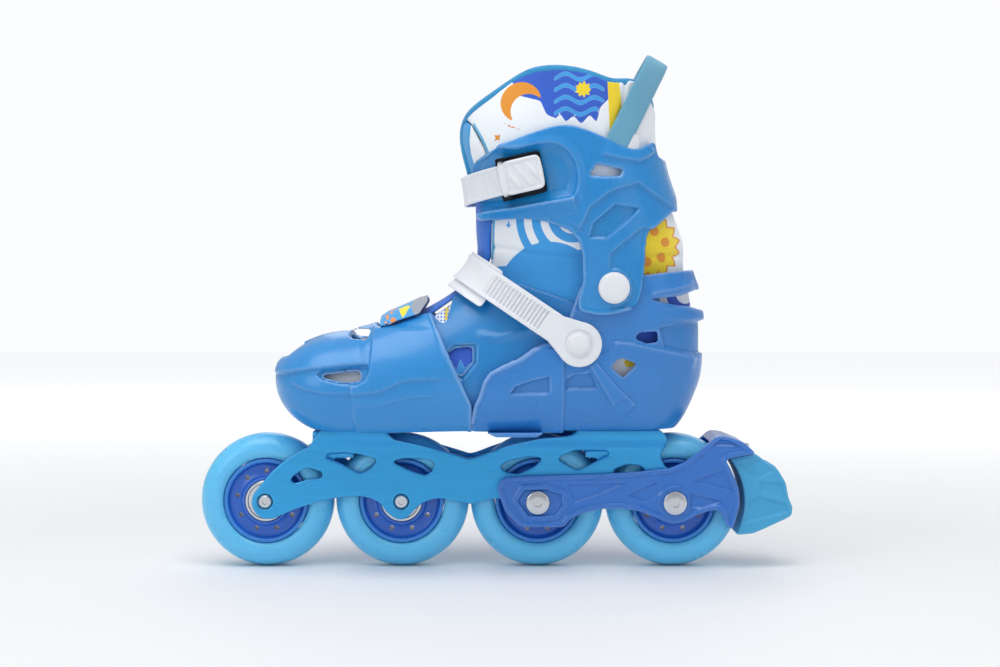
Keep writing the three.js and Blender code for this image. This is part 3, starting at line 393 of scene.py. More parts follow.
for n in range(1, 5):
    x, y, z = centre_of(f"tyre_{n}")
    body = f"wheel_{n}"
    tyre = lathe(f"wheel_{n}_tyre", rounded(both_ways(TYRE_HALF), 0.8, 2), x, y, z, tyre_paint)
    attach(tyre, body)
    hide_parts(f"tyre_{n}")
    hub = lathe(f"wheel_{n}_hub", rounded(both_ways(HUB_HALF), 0.35, 2), x, y, z, hub_paint)
    boolean(hub, vent_drills(x, y, z))
    crisp(hub, 40)
    hub.data.materials.append(hub_rim_paint)
    for face in hub.data.polygons:
        reach = math.hypot(face.center.x / MM - x, face.center.z / MM - z)
        if reach > HUB_RIM_R:
            face.material_index = 1
    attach(hub, body)
    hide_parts(f"hub_{n}")
    for side in ("outer", "inner"):
        bx, by, bz = centre_of(f"bearing_{n}_{side}")
        ring = lathe(f"wheel_{n}_bearing_{side}", both_ways(BEARING_HALF), bx, by, bz, steel_paint)
        crisp(ring, 30)
        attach(ring, body)
        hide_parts(f"bearing_{n}_{side}")
    spacer = lathe(f"wheel_{n}_spacer", both_ways(SPACER_HALF), x, y, z, steel_paint)
    crisp(spacer, 30)
    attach(spacer, "boot")
    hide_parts(f"spacer_{n}")

# ------------------------------------------------------------------ axles
# Plated steel bolts with a hex socket. The front two enter from the inner side and show only
# their tips outside; the rear two enter from the outer side and clamp the brake arm.
AXLE_R = 3.7
HEAD_R = 6.4
HEAD_T = 2.3
SOCKET_R = 2.5
SOCKET_DEEP = 1.9
TIP_SOCKET_R = 1.7
TIP_SOCKET_DEEP = 1.2


# A six-sided drill along y, turned by an angle of its own.
def hex_drill(x, y0, y1, z, reach, turn):
    points = [
        (x + reach * math.cos(turn + k * math.pi / 3), y, z + reach * math.sin(turn + k * math.pi / 3))
        for y in (y0, y1)
        for k in range(6)
    ]
    faces = [tuple(range(6)), tuple(range(11, 5, -1))]
    faces += [(k, k + 6, (k + 1) % 6 + 6, (k + 1) % 6) for k in range(6)]
    return piece_from("drill", points, faces, None, smooth=False)


for n in range(1, 5):
    low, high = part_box(f"axle_{n}")
    x, _, z = centre_of(f"axle_{n}")
    y0, y1 = low[1] / MM, high[1] / MM
    facing = 1 if n < 3 else -1  # the side its head is on
    head_y = y1 if facing > 0 else y0
    tip_y = y0 if facing > 0 else y1
    seat_y = head_y - facing * HEAD_T
    profile = [
        (0.01, head_y), (HEAD_R - 1.0, head_y), (HEAD_R - 0.3, head_y - facing * 0.35),
        (HEAD_R, head_y - facing * 0.9), (HEAD_R, seat_y), (AXLE_R, seat_y),
        (AXLE_R, tip_y + facing * 0.7), (AXLE_R - 0.7, tip_y), (0.01, tip_y),
    ]
    axle = lathe(f"axle_bolt_{n}", profile, x, 0, z, steel_paint, 64)
    boolean(axle, hex_drill(x, head_y + facing, head_y - facing * SOCKET_DEEP, z, SOCKET_R, 0.3 * n))
    boolean(axle, hex_drill(x, tip_y - facing, tip_y + facing * TIP_SOCKET_DEEP, z, TIP_SOCKET_R, 0.5 * n))
    crisp(axle, 30)
    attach(axle, "boot")
    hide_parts(f"axle_{n}")

# ------------------------------------------------------------------ frame
# Two aluminium side rails joined by decks under the boot, cut through with slanting windows and
# anodised a satin sky blue; the decks stand wider than the rails. Two bolts hold the boot down.
# The side-view outlines have an x of their own; DX and DY carry them to the CAD's wheels.
DRAWN_AXLE_X = -52.7
DX = centre_of("axle_2")[0] - DRAWN_AXLE_X
DY = centre_of("tyre_1")[1]
RAIL_IN, RAIL_OUT = 12.6, 15.6
RAIL_FLARE = 3.5
FLARE_Z = 63.5, 71.5
DECK_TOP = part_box("frame_chassis")[1][2] / MM
WHEEL_CLEAR_R = 37.5
SPIN = [centre_of(f"tyre_{n}")[0] for n in range(1, 5)]
AXLE_Z = centre_of("tyre_1")[2]


def shifted(points):
    return [(x + DX, z) for x, z in points]


# A side-view outline of (x, z) points made solid between two depths.
def slab(name, points, y0, y1, paint=None, move=True):
    points = shifted(points) if move else points
    count = len(points)
    solid = [(x, y + DY, z) for y in (y0, y1) for x, z in points]
    faces = [tuple(range(count)), tuple(range(2 * count - 1, count - 1, -1))]
    faces += [(k, k + count, (k + 1) % count + count, (k + 1) % count) for k in range(count)]
    made = piece_from(name, solid, faces, paint, smooth=False)
    work = bmesh.new()
    work.from_mesh(made.data)
    bmesh.ops.triangulate(work, faces=work.faces)
    work.to_mesh(made.data)
    work.free()
    return made


# A round bar along y.
def drum(r, y0, y1, x, z, steps=48):
    turn = np.linspace(0, 2 * np.pi, steps, endpoint=False)
    return slab("drum", [(x + r * math.cos(t), z + r * math.sin(t)) for t in turn], y0, y1, move=False)


def block(x0, x1, y0, y1, z0, z1):
    return slab("block", [(x0, z0), (x1, z0), (x1, z1), (x0, z1)], y0, y1, move=False)


# A round bar standing in the middle plane.
def upright(r, x, z0, z1, steps=40):
    turn = np.linspace(0, 2 * np.pi, steps, endpoint=False)
    ring_points = [(x + r * math.cos(t), DY + r * math.sin(t)) for t in turn]
    points = [(px, py, z) for z in (z0, z1) for px, py in ring_points]
    faces = [tuple(range(steps)), tuple(range(2 * steps - 1, steps - 1, -1))]
    faces += [(k, k + steps, (k + 1) % steps + steps, (k + 1) % steps) for k in range(steps)]
    return piece_from("upright", points, faces, None, smooth=False)


# An even skin of small faces, whose edges are rounded off by some passes of smoothing.
def softened(piece, grain_mm, passes, share=0.5):
    skin = piece.modifiers.new("skin", "REMESH")
    skin.mode = "VOXEL"
    skin.voxel_size = grain_mm * MM
    if passes:
        ease = piece.modifiers.new("ease", "SMOOTH")
        ease.factor = share
        ease.iterations = passes
    evaluated(piece)
    piece.data.polygons.foreach_set("use_smooth", [True] * len(piece.data.polygons))
    return piece


MOST_FACES = 190000


# No finer than a moulding needs: the flatter faces are merged until few enough are left.
def thinned(piece):
    count = sum(len(face.vertices) - 2 for face in piece.data.polygons)
    if count > MOST_FACES:
        fewer = piece.modifiers.new("fewer", "DECIMATE")
        fewer.ratio = MOST_FACES / count
        evaluated(piece)
    return piece


def corners_of(piece):
    flat = np.empty(len(piece.data.vertices) * 3)
    piece.data.vertices.foreach_get("co", flat)
    return flat.reshape(-1, 3) / MM


def put_corners(piece, points):
    piece.data.vertices.foreach_set("co", (points * MM).ravel())
    piece.data.update()


# 0 up to start, 1 from end on, and a smooth rise between them.
def ramp(value, start, end):
    t = np.clip((value - start) / (end - start), 0, 1)
    return t * t * (3 - 2 * t)


def anodised(name, colour, rough=0.34):
    made, tree, bsdf = blank_material(name)
    place = add_node(tree, "ShaderNodeTexCoord").outputs["Object"]
    stretch = add_node(tree, "ShaderNodeMapping", {"Vector": place, "Scale": (60.0, 900.0, 900.0)})
    brushed = noise(tree, stretch.outputs["Vector"], 1.0, 3.0)
    speck = noise(tree, place, 2400.0, 1.0)
    base = to_linear(colour)
    body = mixed(tree, brushed, shaded(base, 0.84), shaded(base, 1.12))
    shape = add_node(tree, "ShaderNodeNewGeometry").outputs["Pointiness"]
    # Painted highlight: sharp edges are mixed towards a pale blue.
    pale_edge_highlight = ranged(tree, shape, 0.0, 0.55, 0.53, 0.62)
    tree.links.new(mixed(tree, pale_edge_highlight, body, (0.55, 0.78, 0.92)), bsdf.inputs["Base Color"])
    tree.links.new(ranged(tree, speck, rough - 0.08, rough + 0.12), bsdf.inputs["Roughness"])
    add_bump(tree, bsdf, speck, 0.12, 0.0001)
    bsdf.inputs["Metallic"].default_value = 0.55
    bsdf.inputs["Specular IOR Level"].default_value = 0.6
    return made


RAIL_OUTLINE = [
    (-95.3, 75), (-99, 70.4), (-101.7, 65.6), (-106.4, 63.5), (-111.8, 60.3), (-117.1, 56.6),
    (-122.4, 51.8), (-126.7, 46.5), (-132, 40.1), (-133.1, 34.7), (-131, 29.9), (-126.7, 26.7),
    (-121.4, 26.7), (-114.4, 29.9), (-106.4, 33.1), (-95.8, 36.3), (-85.1, 38.5), (-74.5, 39),
    (-69.1, 37.9), (-63.8, 35.3), (-61.1, 31), (-56.9, 27.3), (-53.1, 26.2), (-49.4, 27.3),
    (-45.1, 32.1), (-41.4, 35.3), (-36.1, 37.4), (-30.8, 37.9), (-23.8, 36.3), (-15.8, 34.7),
    (-8.9, 36.3), (-1.4, 37.9), (4, 37), (9, 34.7), (13, 31), (16.5, 27.3), (20.3, 26.2), (24, 27.3),
    (28, 31), (33, 35.3), (42, 38), (56.8, 39), (71, 38), (80, 35.3), (85.5, 31), (89.5, 27.3),
    (93.3, 26.2), (98, 27.5), (102, 31.5), (103.5, 38), (100, 46), (93, 51.5), (88, 55.5), (85.8, 60.8),
    (87.5, 64), (89.7, 67.8), (88.7, 71.5), (85.5, 75), (41.7, 75), (39.1, 72.6), (34.8, 71.5),
    (21.5, 70.4), (5.5, 66.7), (-5.2, 63), (-12.1, 60.3), (-16.4, 59.2), (-21.2, 60.8), (-31.8, 64),
    (-47.8, 67.8), (-56.9, 69.9), (-61.1, 75),
]
RAIL_WINDOWS = [
    [
        (-111.8, 47), (-111.2, 49.1), (-106.4, 52.8), (-102.2, 54.4), (-94.7, 51.8), (-95.3, 48.6),
        (-102.2, 48.1), (-109.6, 45.9),
    ],
    [
        (-93.1, 59.8), (-92.1, 61.9), (-82.5, 62.4), (-74.5, 61.4), (-65.4, 58.7), (-68.1, 54.4),
        (-74.5, 51.3), (-85.1, 56.6),
    ],
    [
        (-57.9, 57.6), (-52.1, 59.2), (-39.8, 59.2), (-34.5, 57.1), (-36.1, 52.3), (-39.8, 50.2),
        (-47.8, 52.8),
    ],
    [
        (0.2, 54.4), (1.8, 56.6), (8.2, 58.7), (16.2, 60.3), (23.1, 59.2), (18.8, 55), (9.8, 50.7),
        (3.4, 51.8),
    ],
    [
        (31.1, 58.7), (33.2, 60.8), (40.1, 63.5), (57.2, 63.5), (59.3, 61.4), (48.1, 56), (41.7, 52.8),
        (39.1, 53.9),
    ],
    [(60.4, 52.3), (64.1, 54.4), (68.4, 56), (76, 55), (79, 50), (72, 47.5), (64, 48.5)],
]
BOLT_X = [(SPIN[0] + SPIN[1]) / 2, (SPIN[2] + SPIN[3]) / 2]
AXLE_BORE_R = 4.1
BOLT_BORE_R, BOLT_HEAD_BORE_R = 3.3, 6.3
frame_paint = anodised("sky_anodised", (54, 164, 224))
chassis = slab("frame_rails", rounded(RAIL_OUTLINE, 1.6, 3), -RAIL_OUT, -RAIL_IN, frame_paint)
boolean(chassis, slab("rail", rounded(RAIL_OUTLINE, 1.6, 3), RAIL_IN, RAIL_OUT), "UNION")
for outline in RAIL_WINDOWS:
    boolean(chassis, slab("window", rounded(outline, 1.8, 4), -RAIL_OUT - 2, RAIL_OUT + 2))
# Two decks, a post under each, and a tie between the middle wheels.
for x0, x1, half_y, z0, z1 in (
    (-95.3, -61.1, RAIL_OUT + 0.2, DECK_TOP - 3.8, DECK_TOP),
    (41.7, 85.5, RAIL_OUT + 0.2, DECK_TOP - 3.8, DECK_TOP),
    (-100, -78, RAIL_IN + 0.5, DECK_TOP - 16, DECK_TOP - 1),
    (46, 68, RAIL_IN + 0.5, DECK_TOP - 16, DECK_TOP - 1),
    (-23, -9.5, RAIL_IN + 0.5, DECK_TOP - 26, DECK_TOP - 17.5),
):
    boolean(chassis, block(x0 + DX, x1 + DX, -half_y, half_y, z0, z1), "UNION")
for x in SPIN:
    boolean(chassis, drum(WHEEL_CLEAR_R, -RAIL_IN + 0.05, RAIL_IN - 0.05, x, AXLE_Z, 96))
    boolean(chassis, drum(AXLE_BORE_R, -30, 30, x, AXLE_Z))
for x in BOLT_X:
    boolean(chassis, upright(BOLT_BORE_R, x, DECK_TOP - 30, DECK_TOP + 1))
    boolean(chassis, upright(BOLT_HEAD_BORE_R, x, DECK_TOP - 30, DECK_TOP - 9))
softened(chassis, 0.62, 2)
thinned(chassis)
points = corners_of(chassis)
lean = ramp(points[:, 2], *FLARE_Z) * RAIL_FLARE
side = points[:, 1] - DY
points[:, 1] += np.where(np.abs(side) > RAIL_IN - 1.2, np.sign(side) * lean, side / RAIL_IN * lean)
put_corners(chassis, points)
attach(chassis, "boot")
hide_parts("frame_chassis")


# A turned piece stood upright in the middle plane at x.
def stood_up(piece, x):
    lifted = Matrix.Rotation(math.radians(90), 4, "X")
    piece.data.transform(Matrix.Translation((x * MM, DY * MM, 0)) @ lifted)
    turned_out(piece)
    return piece


for name, x in (("frame_bolt_front", BOLT_X[0]), ("frame_bolt_rear", BOLT_X[1])):
    low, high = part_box(name)
    seat, top = low[2] / MM + 3, high[2] / MM
    profile = [
        (0.01, top), (2.3, top), (2.9, top - 0.6), (2.9, seat), (5.6, seat), (5.9, seat - 0.5),
        (5.6, seat - 3), (0.01, seat - 3),
    ]
    bolt = stood_up(lathe(name + "_screw", profile, 0, 0, 0, steel_paint, 48), x)
    crisp(bolt, 30)
    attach(bolt, "boot")
    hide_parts(name)

# ------------------------------------------------------------------ heel brake
# A glossy nylon arm clamped over the frame by the two rear axles, ribbed and pocketed to save
# weight, and a faceted rubber pad held under its bridge by one screw.
ARM_IN, ARM_OUT = 16.0, 20.0
DEEPEST_SINK = 2.4
SCREW_BORE_R, SCREW_HEAD_BORE_R = 2.8, 4.6
ARM_OUTLINE = [
    (-1.4, 43.2), (0.2, 47.4), (3.3, 49.6), (10.8, 50.1), (53.2, 51.2), (74.5, 52.7), (90.4, 54.3),
    (98.3, 57.5), (106.3, 63.4), (111.6, 68.1), (115.9, 71.9), (122.2, 71.3), (130.2, 68.1),
    (136.6, 62.3), (122.2, 59.6), (120.6, 58.1), (124.4, 51.2), (127.5, 43.2), (128.1, 35.2),
    (126, 27.3), (124.4, 22), (121.2, 23), (119, 28.3), (116.9, 32), (112.7, 32), (106.3, 29.9),
    (98.3, 25.7), (91.4, 25.1), (85.1, 27.3), (74.5, 31.5), (63.8, 33.1), (53.2, 32.6), (42.6, 29.9),
    (37.3, 27.3), (34.7, 23), (10.8, 23), (2.8, 31.5),
]
ARM_BRIDGE = [
    (104, 58.5), (111.6, 68.1), (115.9, 71.9), (122.2, 71.3), (130.2, 68.1), (136.6, 62.3),
    (122.2, 59.6),
]
ARM_POCKET = [
    (9.2, 36.8), (12.9, 42.9), (24, 43.4), (33.1, 40.5), (33.6, 34.7), (29.9, 29.5), (24, 28.6),
    (15.2, 28.6),
]
ARM_RECESSES = [
    [(36, 45.6), (67, 46.4), (52, 40.4), (39.4, 36)],
    [(68, 39.6), (83.5, 46.8), (84.5, 41), (78, 36.2)],
    [(103.5, 47.4), (118.6, 53.4), (124, 42.4)],
    [(101.5, 40.5), (118.5, 36.8), (108.5, 33.4), (101.5, 33.5)],
    [(113.5, 66.8), (117.5, 69.9), (122.6, 69.2), (126.8, 66.4)],
]
arm_paint = moulded("brake_nylon", (14, 106, 196), rough=0.24, wander=0.03, edge=0.3, coat=0.5)
rubber_paint = moulded("brake_rubber", (66, 164, 212), rough=0.55, wander=0.05, edge=0.2, skin=0.12)


# How far each point is outside a closed side-view outline; negative inside it.
def to_outline(x, z, points):
    points = np.array(shifted(points), float)
    nearest = np.full(len(x), 1e9)
    inside = np.zeros(len(x), bool)
    for (ax, az), (bx, bz) in zip(points, np.roll(points, -1, axis=0)):
        dx, dz = bx - ax, bz - az
        t = np.clip(((x - ax) * dx + (z - az) * dz) / (dx * dx + dz * dz + 1e-12), 0, 1)
        nearest = np.minimum(nearest, np.hypot(x - ax - t * dx, z - az - t * dz))
        if abs(dz) > 1e-9:
            inside ^= ((az > z) != (bz > z)) & (x < dx * (z - az) / dz + ax)
    return np.where(inside, -nearest, nearest)


arm = slab("brake_arm_body", rounded(ARM_OUTLINE, 2.2, 4), -ARM_OUT, -ARM_IN, arm_paint)
boolean(arm, slab("arm", rounded(ARM_OUTLINE, 2.2, 4), ARM_IN, ARM_OUT), "UNION")
boolean(arm, slab("bridge", ARM_BRIDGE, -ARM_IN - 1, ARM_IN + 1), "UNION")
for x in SPIN[2:]:
    boolean(arm, drum(AXLE_BORE_R, -30, 30, x, AXLE_Z))
boolean(arm, drum(WHEEL_CLEAR_R, -ARM_IN + 0.1, ARM_IN - 0.1, SPIN[3], AXLE_Z, 96))
screw_x = centre_of("brake_pad_screw")[0]
screw_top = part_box("brake_pad_screw")[1][2] / MM
boolean(arm, upright(SCREW_BORE_R, screw_x, screw_top - 25, screw_top + 9))
boolean(arm, upright(SCREW_HEAD_BORE_R, screw_x, screw_top - 2.4, screw_top + 9))
softened(arm, 0.55, 2)
points = corners_of(arm)
out_y = np.abs(points[:, 1] - DY)
x, z = points[:, 0], points[:, 2]
on_face = out_y > ARM_OUT - 0.9
rim = to_outline(x, z, ARM_OUTLINE)
sink = 0.75 * ramp(rim, -2.1, -3.0) * ramp(np.hypot(x - SPIN[3], z - AXLE_Z), 8.6, 9.6)
pocket = to_outline(x, z, ARM_POCKET)
sink *= ramp(pocket, 2.2, 3.0)
for outline in ARM_RECESSES:
    sink += 0.9 * ramp(to_outline(x, z, outline), 0.5, -0.5)
sink = np.where(pocket < 0, 1.75 * ramp(pocket, 0.0, -0.7), sink)
points[:, 1] -= np.where(on_face, np.sign(points[:, 1] - DY) * np.minimum(sink, DEEPEST_SINK), 0)
put_corners(arm, points)
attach(arm, "boot")
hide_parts("brake_arm")

PAD_OUTLINE = [
    (120, 57.8), (122.2, 59), (135.8, 61.6), (138.4, 60.8), (143.5, 56.5), (147.2, 55.4), (149.8, 52.2),
    (153.6, 45.8), (155.1, 37.9), (157.3, 32.6), (156.7, 28.3), (154.1, 26.7), (143.5, 22),
    (135.5, 18.8), (126, 18.2), (120, 24),
]
PAD_HALF_Y = 15.5
pad = slab("brake_pad_block", rounded(PAD_OUTLINE, 1.0, 3), -PAD_HALF_Y, PAD_HALF_Y, rubber_paint)
boolean(pad, drum(WHEEL_CLEAR_R + 0.3, -40, 40, SPIN[3], AXLE_Z, 96))
boolean(pad, upright(SCREW_BORE_R, screw_x, 51, screw_top + 9))
softened(pad, 0.6, 3)
points = corners_of(pad)
x, z = points[:, 0] - DX, points[:, 2]
side = points[:, 1] - DY
taper = np.minimum(2.6 * ramp(x, 128, 158) + 1.6 * ramp(z, 52, 60) * ramp(x, 130, 140), 4.0)
PAD_FACETS = [
    ([(127.5, 57), (139.5, 58), (147, 52.5), (139, 48.5), (134.5, 50)], 0.9),
    ([(139.5, 46.5), (151.8, 45.5), (153.5, 37.5), (139, 41.5)], 0.8),
    ([(134, 36.5), (139, 38.5), (153.6, 34.5), (155.2, 30.5), (143, 27.5), (130, 25)], 0.9),
]
for outline, depth in PAD_FACETS:
    taper = taper + depth * ramp(to_outline(points[:, 0], points[:, 2], outline), 0.7, -0.7)
face = np.abs(side) > PAD_HALF_Y - 1.5
points[:, 1] = DY + np.where(face, np.sign(side) * (np.abs(side) - taper), side * (1 - taper / PAD_HALF_Y))
put_corners(pad, points)
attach(pad, "boot")
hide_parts("brake_pad")

screw_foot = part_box("brake_pad_screw")[0][2] / MM
profile = [
    (0.01, screw_top), (3.4, screw_top), (4.1, screw_top - 0.6), (4.1, screw_top - 2.2),
    (2.4, screw_top - 2.2), (2.4, screw_foot + 0.4), (2.0, screw_foot), (0.01, screw_foot),
]
screw = stood_up(lathe("brake_screw", profile, 0, 0, 0, steel_paint, 40), screw_x)
crisp(screw, 30)
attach(screw, "boot")
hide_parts("brake_pad_screw")

# ------------------------------------------------------------------ toe shell
# The front of the boot is one moulded cap with a sharp ridge round the nose, an air slot under
# it on each side, a notch on top, and a band across the back that laps over the inner shell. It
# slides forward on the sole as the foot grows. The boot's skin is one surface through sections
# that fan round the ankle, and every shell, pad and strap lies at its own depth in that surface.
SECTIONS = [  # top x and z, low x and z, half width, widest at, squareness above and below, shift
    (-81, 127.3, -81, 70, 43.5, 0.55, 2.2, 3, 2.4),
    (-59, 135, -58, 70, 46, 0.58, 2.1, 3.2, 2.3),
    (-39, 144, -32, 70, 46, 0.6, 2.1, 3.2, 2.2),
    (-24, 153.5, -5, 70, 45.8, 0.6, 2.1, 3.2, 2.2),
    (-16, 162, 25, 70, 43, 0.58, 2.1, 3, 1.2),
    (-13.5, 171, 60, 70, 40.5, 0.52, 2.2, 2.8, 0.4),
    (-13, 179, 91, 72, 39, 0.5, 2.2, 2.6, 0),
    (-13, 189, 107, 98, 40, 0.5, 2.2, 2.4, 0),
    (-13.5, 198, 109.5, 122, 41, 0.5, 2.2, 2.3, 0),
    (-15, 208, 107.5, 146, 42, 0.48, 2.2, 2.3, 0),
    (-18, 219, 100, 172, 43, 0.47, 2.2, 2.3, 0),
    (-20.5, 230, 91.5, 196, 44, 0.47, 2.2, 2.3, 0),
    (-19.5, 243, 85.5, 220, 44, 0.47, 2.2, 2.3, 0),
    (-14, 257, 84, 240, 43.5, 0.47, 2.2, 2.3, 0),
    (-7, 274, 86, 262, 43, 0.47, 2.2, 2.3, 0),
]
NOSE_X, NOSE_Z = -121.2, 104.3
NOSE_BLUNT_UP, NOSE_BLUNT_DOWN, NOSE_BLUNT_SIDE = 1.9, 1.75, 2.4
NOSE_RINGS, BOOT_RINGS, BOOT_SIDES = 30, 130, 128
SOLE_Z = 75.3
SHELL_T = 3.0


# Rows read at shares u of their number, along a smooth curve through them.
def along_curve(rows, u):
    rows = np.array(rows, float)
    last = len(rows) - 1
    at = np.clip(u, 0, 1) * last
    i = np.minimum(at.astype(int), last - 1)
    t = (at - i)[:, None]
    padded_rows = np.vstack([2 * rows[0] - rows[1], rows, 2 * rows[-1] - rows[-2]])
    p0, p1, p2, p3 = (padded_rows[i + k] for k in range(4))
    m1, m2 = (p2 - p0) / 2, (p3 - p1) / 2
    near = (2 * t**3 - 3 * t**2 + 1) * p1 + (t**3 - 2 * t**2 + t) * m1
    far = (3 * t**2 - 2 * t**3) * p2 + (t**3 - t**2) * m2
    return near + far


# Points of the boot's surface grown outwards by d, as rings of points from the nose to the top.
def boot_rings(d):
    u = np.linspace(0, 1, BOOT_RINGS + 1)[1:]
    phi = np.linspace(0, np.pi / 2, NOSE_RINGS + 1)
    nose = np.repeat(along_curve(SECTIONS, np.array([0.0])), NOSE_RINGS + 1, axis=0)
    rows = np.vstack([nose, along_curve(SECTIONS, u)])
    ax, az, bx, bz, w, at, up, down, shift = rows.T
    c = np.concatenate([np.cos(phi), np.zeros(len(u))])

    def col(values):
        return values[:, None]

    def shrink(p):
        return np.where(c > 0, np.maximum(0, 1 - np.maximum(c, 0) ** p) ** (1 / p), 1.0)

    first = np.arange(len(rows)) <= NOSE_RINGS
    centre = (az - NOSE_Z) / (az - bz)
    at = np.where(first, centre + (at - centre) * shrink(NOSE_BLUNT_SIDE), at)
    grow_up = np.where(first, shrink(NOSE_BLUNT_UP), 1.0)
    grow_down = np.where(first, shrink(NOSE_BLUNT_DOWN), 1.0)
    grow_side = np.where(first, shrink(NOSE_BLUNT_SIDE), 1.0)
    angle = np.linspace(0, 2 * np.pi, BOOT_SIDES, endpoint=False)[None, :]
    cos, sin = np.cos(angle), np.sin(angle)
    dx, dz = bx - ax, bz - az
    long = np.hypot(dx, dz)
    power = np.where(cos > 0, col(up), col(down))
    reach = np.where(cos > 0, col((long * at + d) * grow_up), col((long * (1 - at) + d) * grow_down))
    along = col(long * at) - np.sign(cos) * reach * np.abs(cos) ** (2 / power)
    side = np.sign(sin) * col((w + d) * grow_side) * np.abs(sin) ** (2 / power)
    x = col(ax) + col(dx / long) * along - np.where(col(first), col((ax - NOSE_X + d) * c), 0)
    z = col(az) + col(dz / long) * along
    return np.stack([x + DX, col(shift) + side + DY, z], axis=-1)


# Rings of points closed into a solid and cut flat along the sole.
def rings_solid(rings, floor_z):
    count = len(rings) - 1
    apex, cap = rings[0].mean(axis=0), rings[-1].mean(axis=0)
    points = np.vstack([apex[None], rings[1:].reshape(-1, 3), cap[None]])
    following = [(j + 1) % BOOT_SIDES for j in range(BOOT_SIDES)]
    faces = [(0, 1 + following[j], 1 + j) for j in range(BOOT_SIDES)]
    for i in range(count - 1):
        a, b = 1 + i * BOOT_SIDES, 1 + (i + 1) * BOOT_SIDES
        faces += [(a + j, a + following[j], b + following[j], b + j) for j in range(BOOT_SIDES)]
    a, top = 1 + (count - 1) * BOOT_SIDES, len(points) - 1
    faces += [(a + j, a + following[j], top) for j in range(BOOT_SIDES)]
    made = piece_from("volume", points, faces, None, smooth=False)
    boolean(made, block(-300, 300, -150, 150, floor_z - 200, floor_z))
    return made


def boot_volume(d):
    made = rings_solid(boot_rings(d), SOLE_Z - d)
    made.hide_render = True
    return made


VOLUMES = {}
WIDE = 120


# What lies between two depths of the boot's surface, inside a side-view outline.
def layer(name, inner, outer, outline, y0=-WIDE, y1=WIDE, round_mm=2.0):
    for d in (inner, outer):
        if d not in VOLUMES:
            VOLUMES[d] = boot_volume(d)
    made = VOLUMES[outer].copy()
    made.data = VOLUMES[outer].data.copy()
    made.name = name
    made.hide_render = False
    scene.collection.objects.link(made)
    boolean(made, VOLUMES[inner], keep_tool=True)
    if outline:
        boolean(made, slab("outline", rounded(outline, round_mm, 4), y0, y1), "INTERSECT")
    return made


def facing_of(piece):
    flat = np.empty(len(piece.data.vertices) * 3)
    piece.data.vertices.foreach_get("normal", flat)
    return flat.reshape(-1, 3)


# How far each corner faces away from the boot's middle: 1 on an outer face, 0 on an inner one.
def outward_share(points, facing):
    x, z = points[:, 0] - DX, points[:, 2]
    up_shaft = ramp(z, 120, 160)
    cx = np.where(x < 20, x * (1 - up_shaft) + 30 * up_shaft, 30 + (x - 30) * 0.25)
    cz = np.where(z < 112, 104 + (z - 104) * 0.35, z)
    away = np.stack([x - cx, points[:, 1] - DY - 1.0, z - cz], axis=-1)
    away /= np.linalg.norm(away, axis=1)[:, None] + 1e-9
    return ramp(np.einsum("ij,ij->i", away, facing), 0.05, 0.35)


RELIEF = 1.45
DEEPEST_RELIEF = 2.1


# Raises or sinks a shell's outer face by the height given for each of its points.
def embossed(piece, height_at):
    points, facing = corners_of(piece), facing_of(piece)
    height = height_at(points[:, 0], points[:, 2], points[:, 1] - DY)
    height = np.where(height > 0, height * RELIEF, np.maximum(height * RELIEF, -DEEPEST_RELIEF))
    put_corners(piece, points + facing * (height * outward_share(points, facing))[:, None])
    return thinned(piece)


# Distance to an open line, and which side of it a point lies on: positive to the left going along.
def to_line(x, z, points):
    points = np.array(shifted(points), float)
    nearest = np.full(len(x), 1e9)
    hand = np.zeros(len(x))
    share = np.zeros(len(x))
    for k, ((ax, az), (bx, bz)) in enumerate(zip(points[:-1], points[1:])):
        dx, dz = bx - ax, bz - az
        t = np.clip(((x - ax) * dx + (z - az) * dz) / (dx * dx + dz * dz + 1e-12), 0, 1)
        gap = np.hypot(x - ax - t * dx, z - az - t * dz)
        closer = gap < nearest
        nearest = np.where(closer, gap, nearest)
        hand = np.where(closer, np.sign(dx * (z - az) - dz * (x - ax)), hand)
        share = np.where(closer, (k + t) / (len(points) - 1), share)
    return nearest, hand, share


# A narrow raised line, or a sunken one where its height is negative, that fades out at its ends.
def line_height(x, z, points, height, width):
    gap, _, share = to_line(x, z, points)
    ends = ramp(share, 0.0, 0.12) * ramp(share, 1.0, 0.88)
    return height * np.exp(-((gap / width) ** 2)) * ends


# A step along a line: the left side stands higher, falling away over a distance.
def step_height(x, z, points, height, fall, sharp=0.5):
    gap, hand, share = to_line(x, z, points)
    ends = ramp(share, 0.0, 0.08) * ramp(share, 1.0, 0.92)
    signed = gap * hand
    return height * ramp(signed, -sharp, sharp) * (1 - ramp(signed, 0, fall)) * ends


TOE_OUTLINE = [
    (-135, 60), (-135, 150), (-67, 150), (-66, 129.8), (-62, 129.3), (-42, 136.5), (-36.1, 137.5),
    (-30.9, 123.6), (-25.8, 112.2), (-20.6, 101.3), (-14.9, 89.4), (-14.9, 60),
]
TOE_WINDOW = [
    (-92.5, 105), (-73.5, 107.2), (-72.2, 105.3), (-72.2, 102.7), (-75.2, 101.4), (-83.9, 101.8),
    (-91.7, 103.7),
]
TOE_NOTCH = [
    (-79.5, 123.9), (-79.9, 127.7), (-74, 128.6), (-68.4, 128.4), (-69.6, 124), (-71.5, 122.6),
    (-76.9, 122.6),
]
TOE_SLOT = [
    (-95.4, 105.3), (-92, 107.9), (-68.9, 110.2), (-68.6, 105.3), (-70.9, 101.6), (-75.2, 100.2),
    (-83.9, 100.6), (-92.5, 102.7),
]
TOE_RIDGE = [(-121, 104.6), (-108, 106.0), (-91.7, 107.9), (-67.8, 110.6)]
TOE_STEP = [
    (-66.4, 132), (-66.8, 122.6), (-67.3, 112.2), (-67.5, 107), (-69.8, 102.3), (-74.4, 99.9),
    (-79, 99.4),
]
